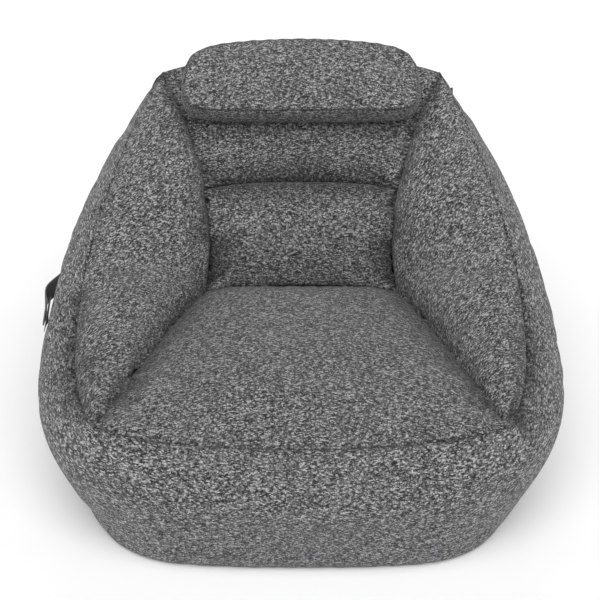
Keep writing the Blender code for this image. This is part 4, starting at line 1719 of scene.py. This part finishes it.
@dataclass
class Studio:
    """Pale plain floor, soft light and the camera."""

    eye: Vector = field(default_factory=lambda: Vector((0.0, -2.137, 1.385)))
    tilt: float = 63.0
    lens: float = 77.8
    shift: float = -0.0017
    sensor: float = 36.0
    floor_size: float = 40.0
    surroundings: float = 0.22

    def build(self) -> None:
        """Make the floor, the lights and the camera."""
        self.floor()
        self.lights()
        self.camera()

    def floor(self) -> None:
        """Large pale plane under the chair."""
        deselect()
        bpy.ops.mesh.primitive_plane_add(size=self.floor_size, location=(0.0, 0.0, 0.0))
        plane = bpy.context.active_object
        plane.name = "studio_floor"
        material, _, shader = start_material("studio_floor", 0.9)
        shader.inputs["Base Color"].default_value = (0.93, 0.93, 0.935, 1.0)
        plane.data.materials.append(material)

    def lights(self) -> None:
        """Broad soft key from above in front, low fill from the sides and rear, dim world."""
        for name, source, power, spread in (
                ("key", (0.0, -0.62, 0.78), 3.2, 62.0),
                ("left", (-0.98, -0.12, 0.10), 0.8, 16.0),
                ("right", (0.98, -0.12, 0.10), 0.8, 16.0),
                ("rear", (0.0, 0.97, 0.22), 0.7, 24.0)):
            lamp = bpy.data.lights.new(name, "SUN")
            lamp.energy = power
            lamp.angle = math.radians(spread)
            item = bpy.data.objects.new(name, lamp)
            bpy.context.scene.collection.objects.link(item)
            item.location = Vector(source) * 3.0
            item.rotation_euler = Vector(source).to_track_quat("Z", "Y").to_euler()
        world = bpy.data.worlds.new("studio")
        world.use_nodes = True
        backdrop = world.node_tree.nodes["Background"]
        backdrop.inputs[0].default_value = (1.0, 1.0, 1.0, 1.0)
        backdrop.inputs[1].default_value = self.surroundings
        bpy.context.scene.world = world

    def camera(self) -> None:
        """The camera, from in front and above."""
        data = bpy.data.cameras.new("camera")
        data.lens = self.lens
        data.sensor_width = self.sensor
        data.shift_x = self.shift
        item = bpy.data.objects.new("camera", data)
        bpy.context.scene.collection.objects.link(item)
        item.location = self.eye
        item.rotation_euler = (math.radians(self.tilt), 0.0, 0.0)
        bpy.context.scene.camera = item
        bpy.context.scene.view_settings.view_transform = "Standard"


def main() -> None:
    """Build every sub-assembly in order."""
    logging.basicConfig(level=logging.INFO, format="%(name)s: %(message)s")
    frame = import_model()
    deselect()
    nodes = frame["nodes"]
    groups = Groups()
    materials = {
        "cover": HeatherCloth().build(groups),
        "base": BaseCloth().build(groups),
        "webbing": NarrowWeave("webbing", (0.045, 0.045, 0.047, 1.0),
                               (0.17, 0.17, 0.175, 1.0)).build(groups),
        "zip_tape": NarrowWeave("zip_tape_twill", (0.012, 0.012, 0.013, 1.0),
                                (0.06, 0.06, 0.062, 1.0),
                                run=0, rib=0.0008, relief=0.0002).build(groups),
        "thread": NarrowWeave("sewing_thread", (0.06, 0.06, 0.062, 1.0), (0.24, 0.24, 0.245, 1.0),
                              run=1, rib=0.0005, roughness=0.6, relief=0.0001).build(groups),
        "pile": Pile().build(groups),
        "coil": Casting("coil_nylon", (0.035, 0.035, 0.037, 1.0), (0.09, 0.09, 0.095, 1.0), 0.42,
                        0.0).build(groups),
        "zip_metal": Casting("satin_zinc", (0.40, 0.40, 0.41, 1.0), (0.68, 0.68, 0.69, 1.0), 0.36,
                             1.0).build(groups),
    }
    Studio().build()
    cover = Cover().build(nodes, materials)
    pillow = Headrest().build(nodes, materials)
    hinge = Vector(next(joint["pos_m"] for joint in frame["joints"]
                        if joint["name"] == "headrest_hinge"))
    CarryHandle().build(nodes, materials)
    Flap().build(materials, hinge, pillow["headrest_back_panel"],
                 cover["rear_panel"])
    FillingZip().build(materials, tree_of(cover["rear_panel"]))


if __name__ == "__main__":
    main()
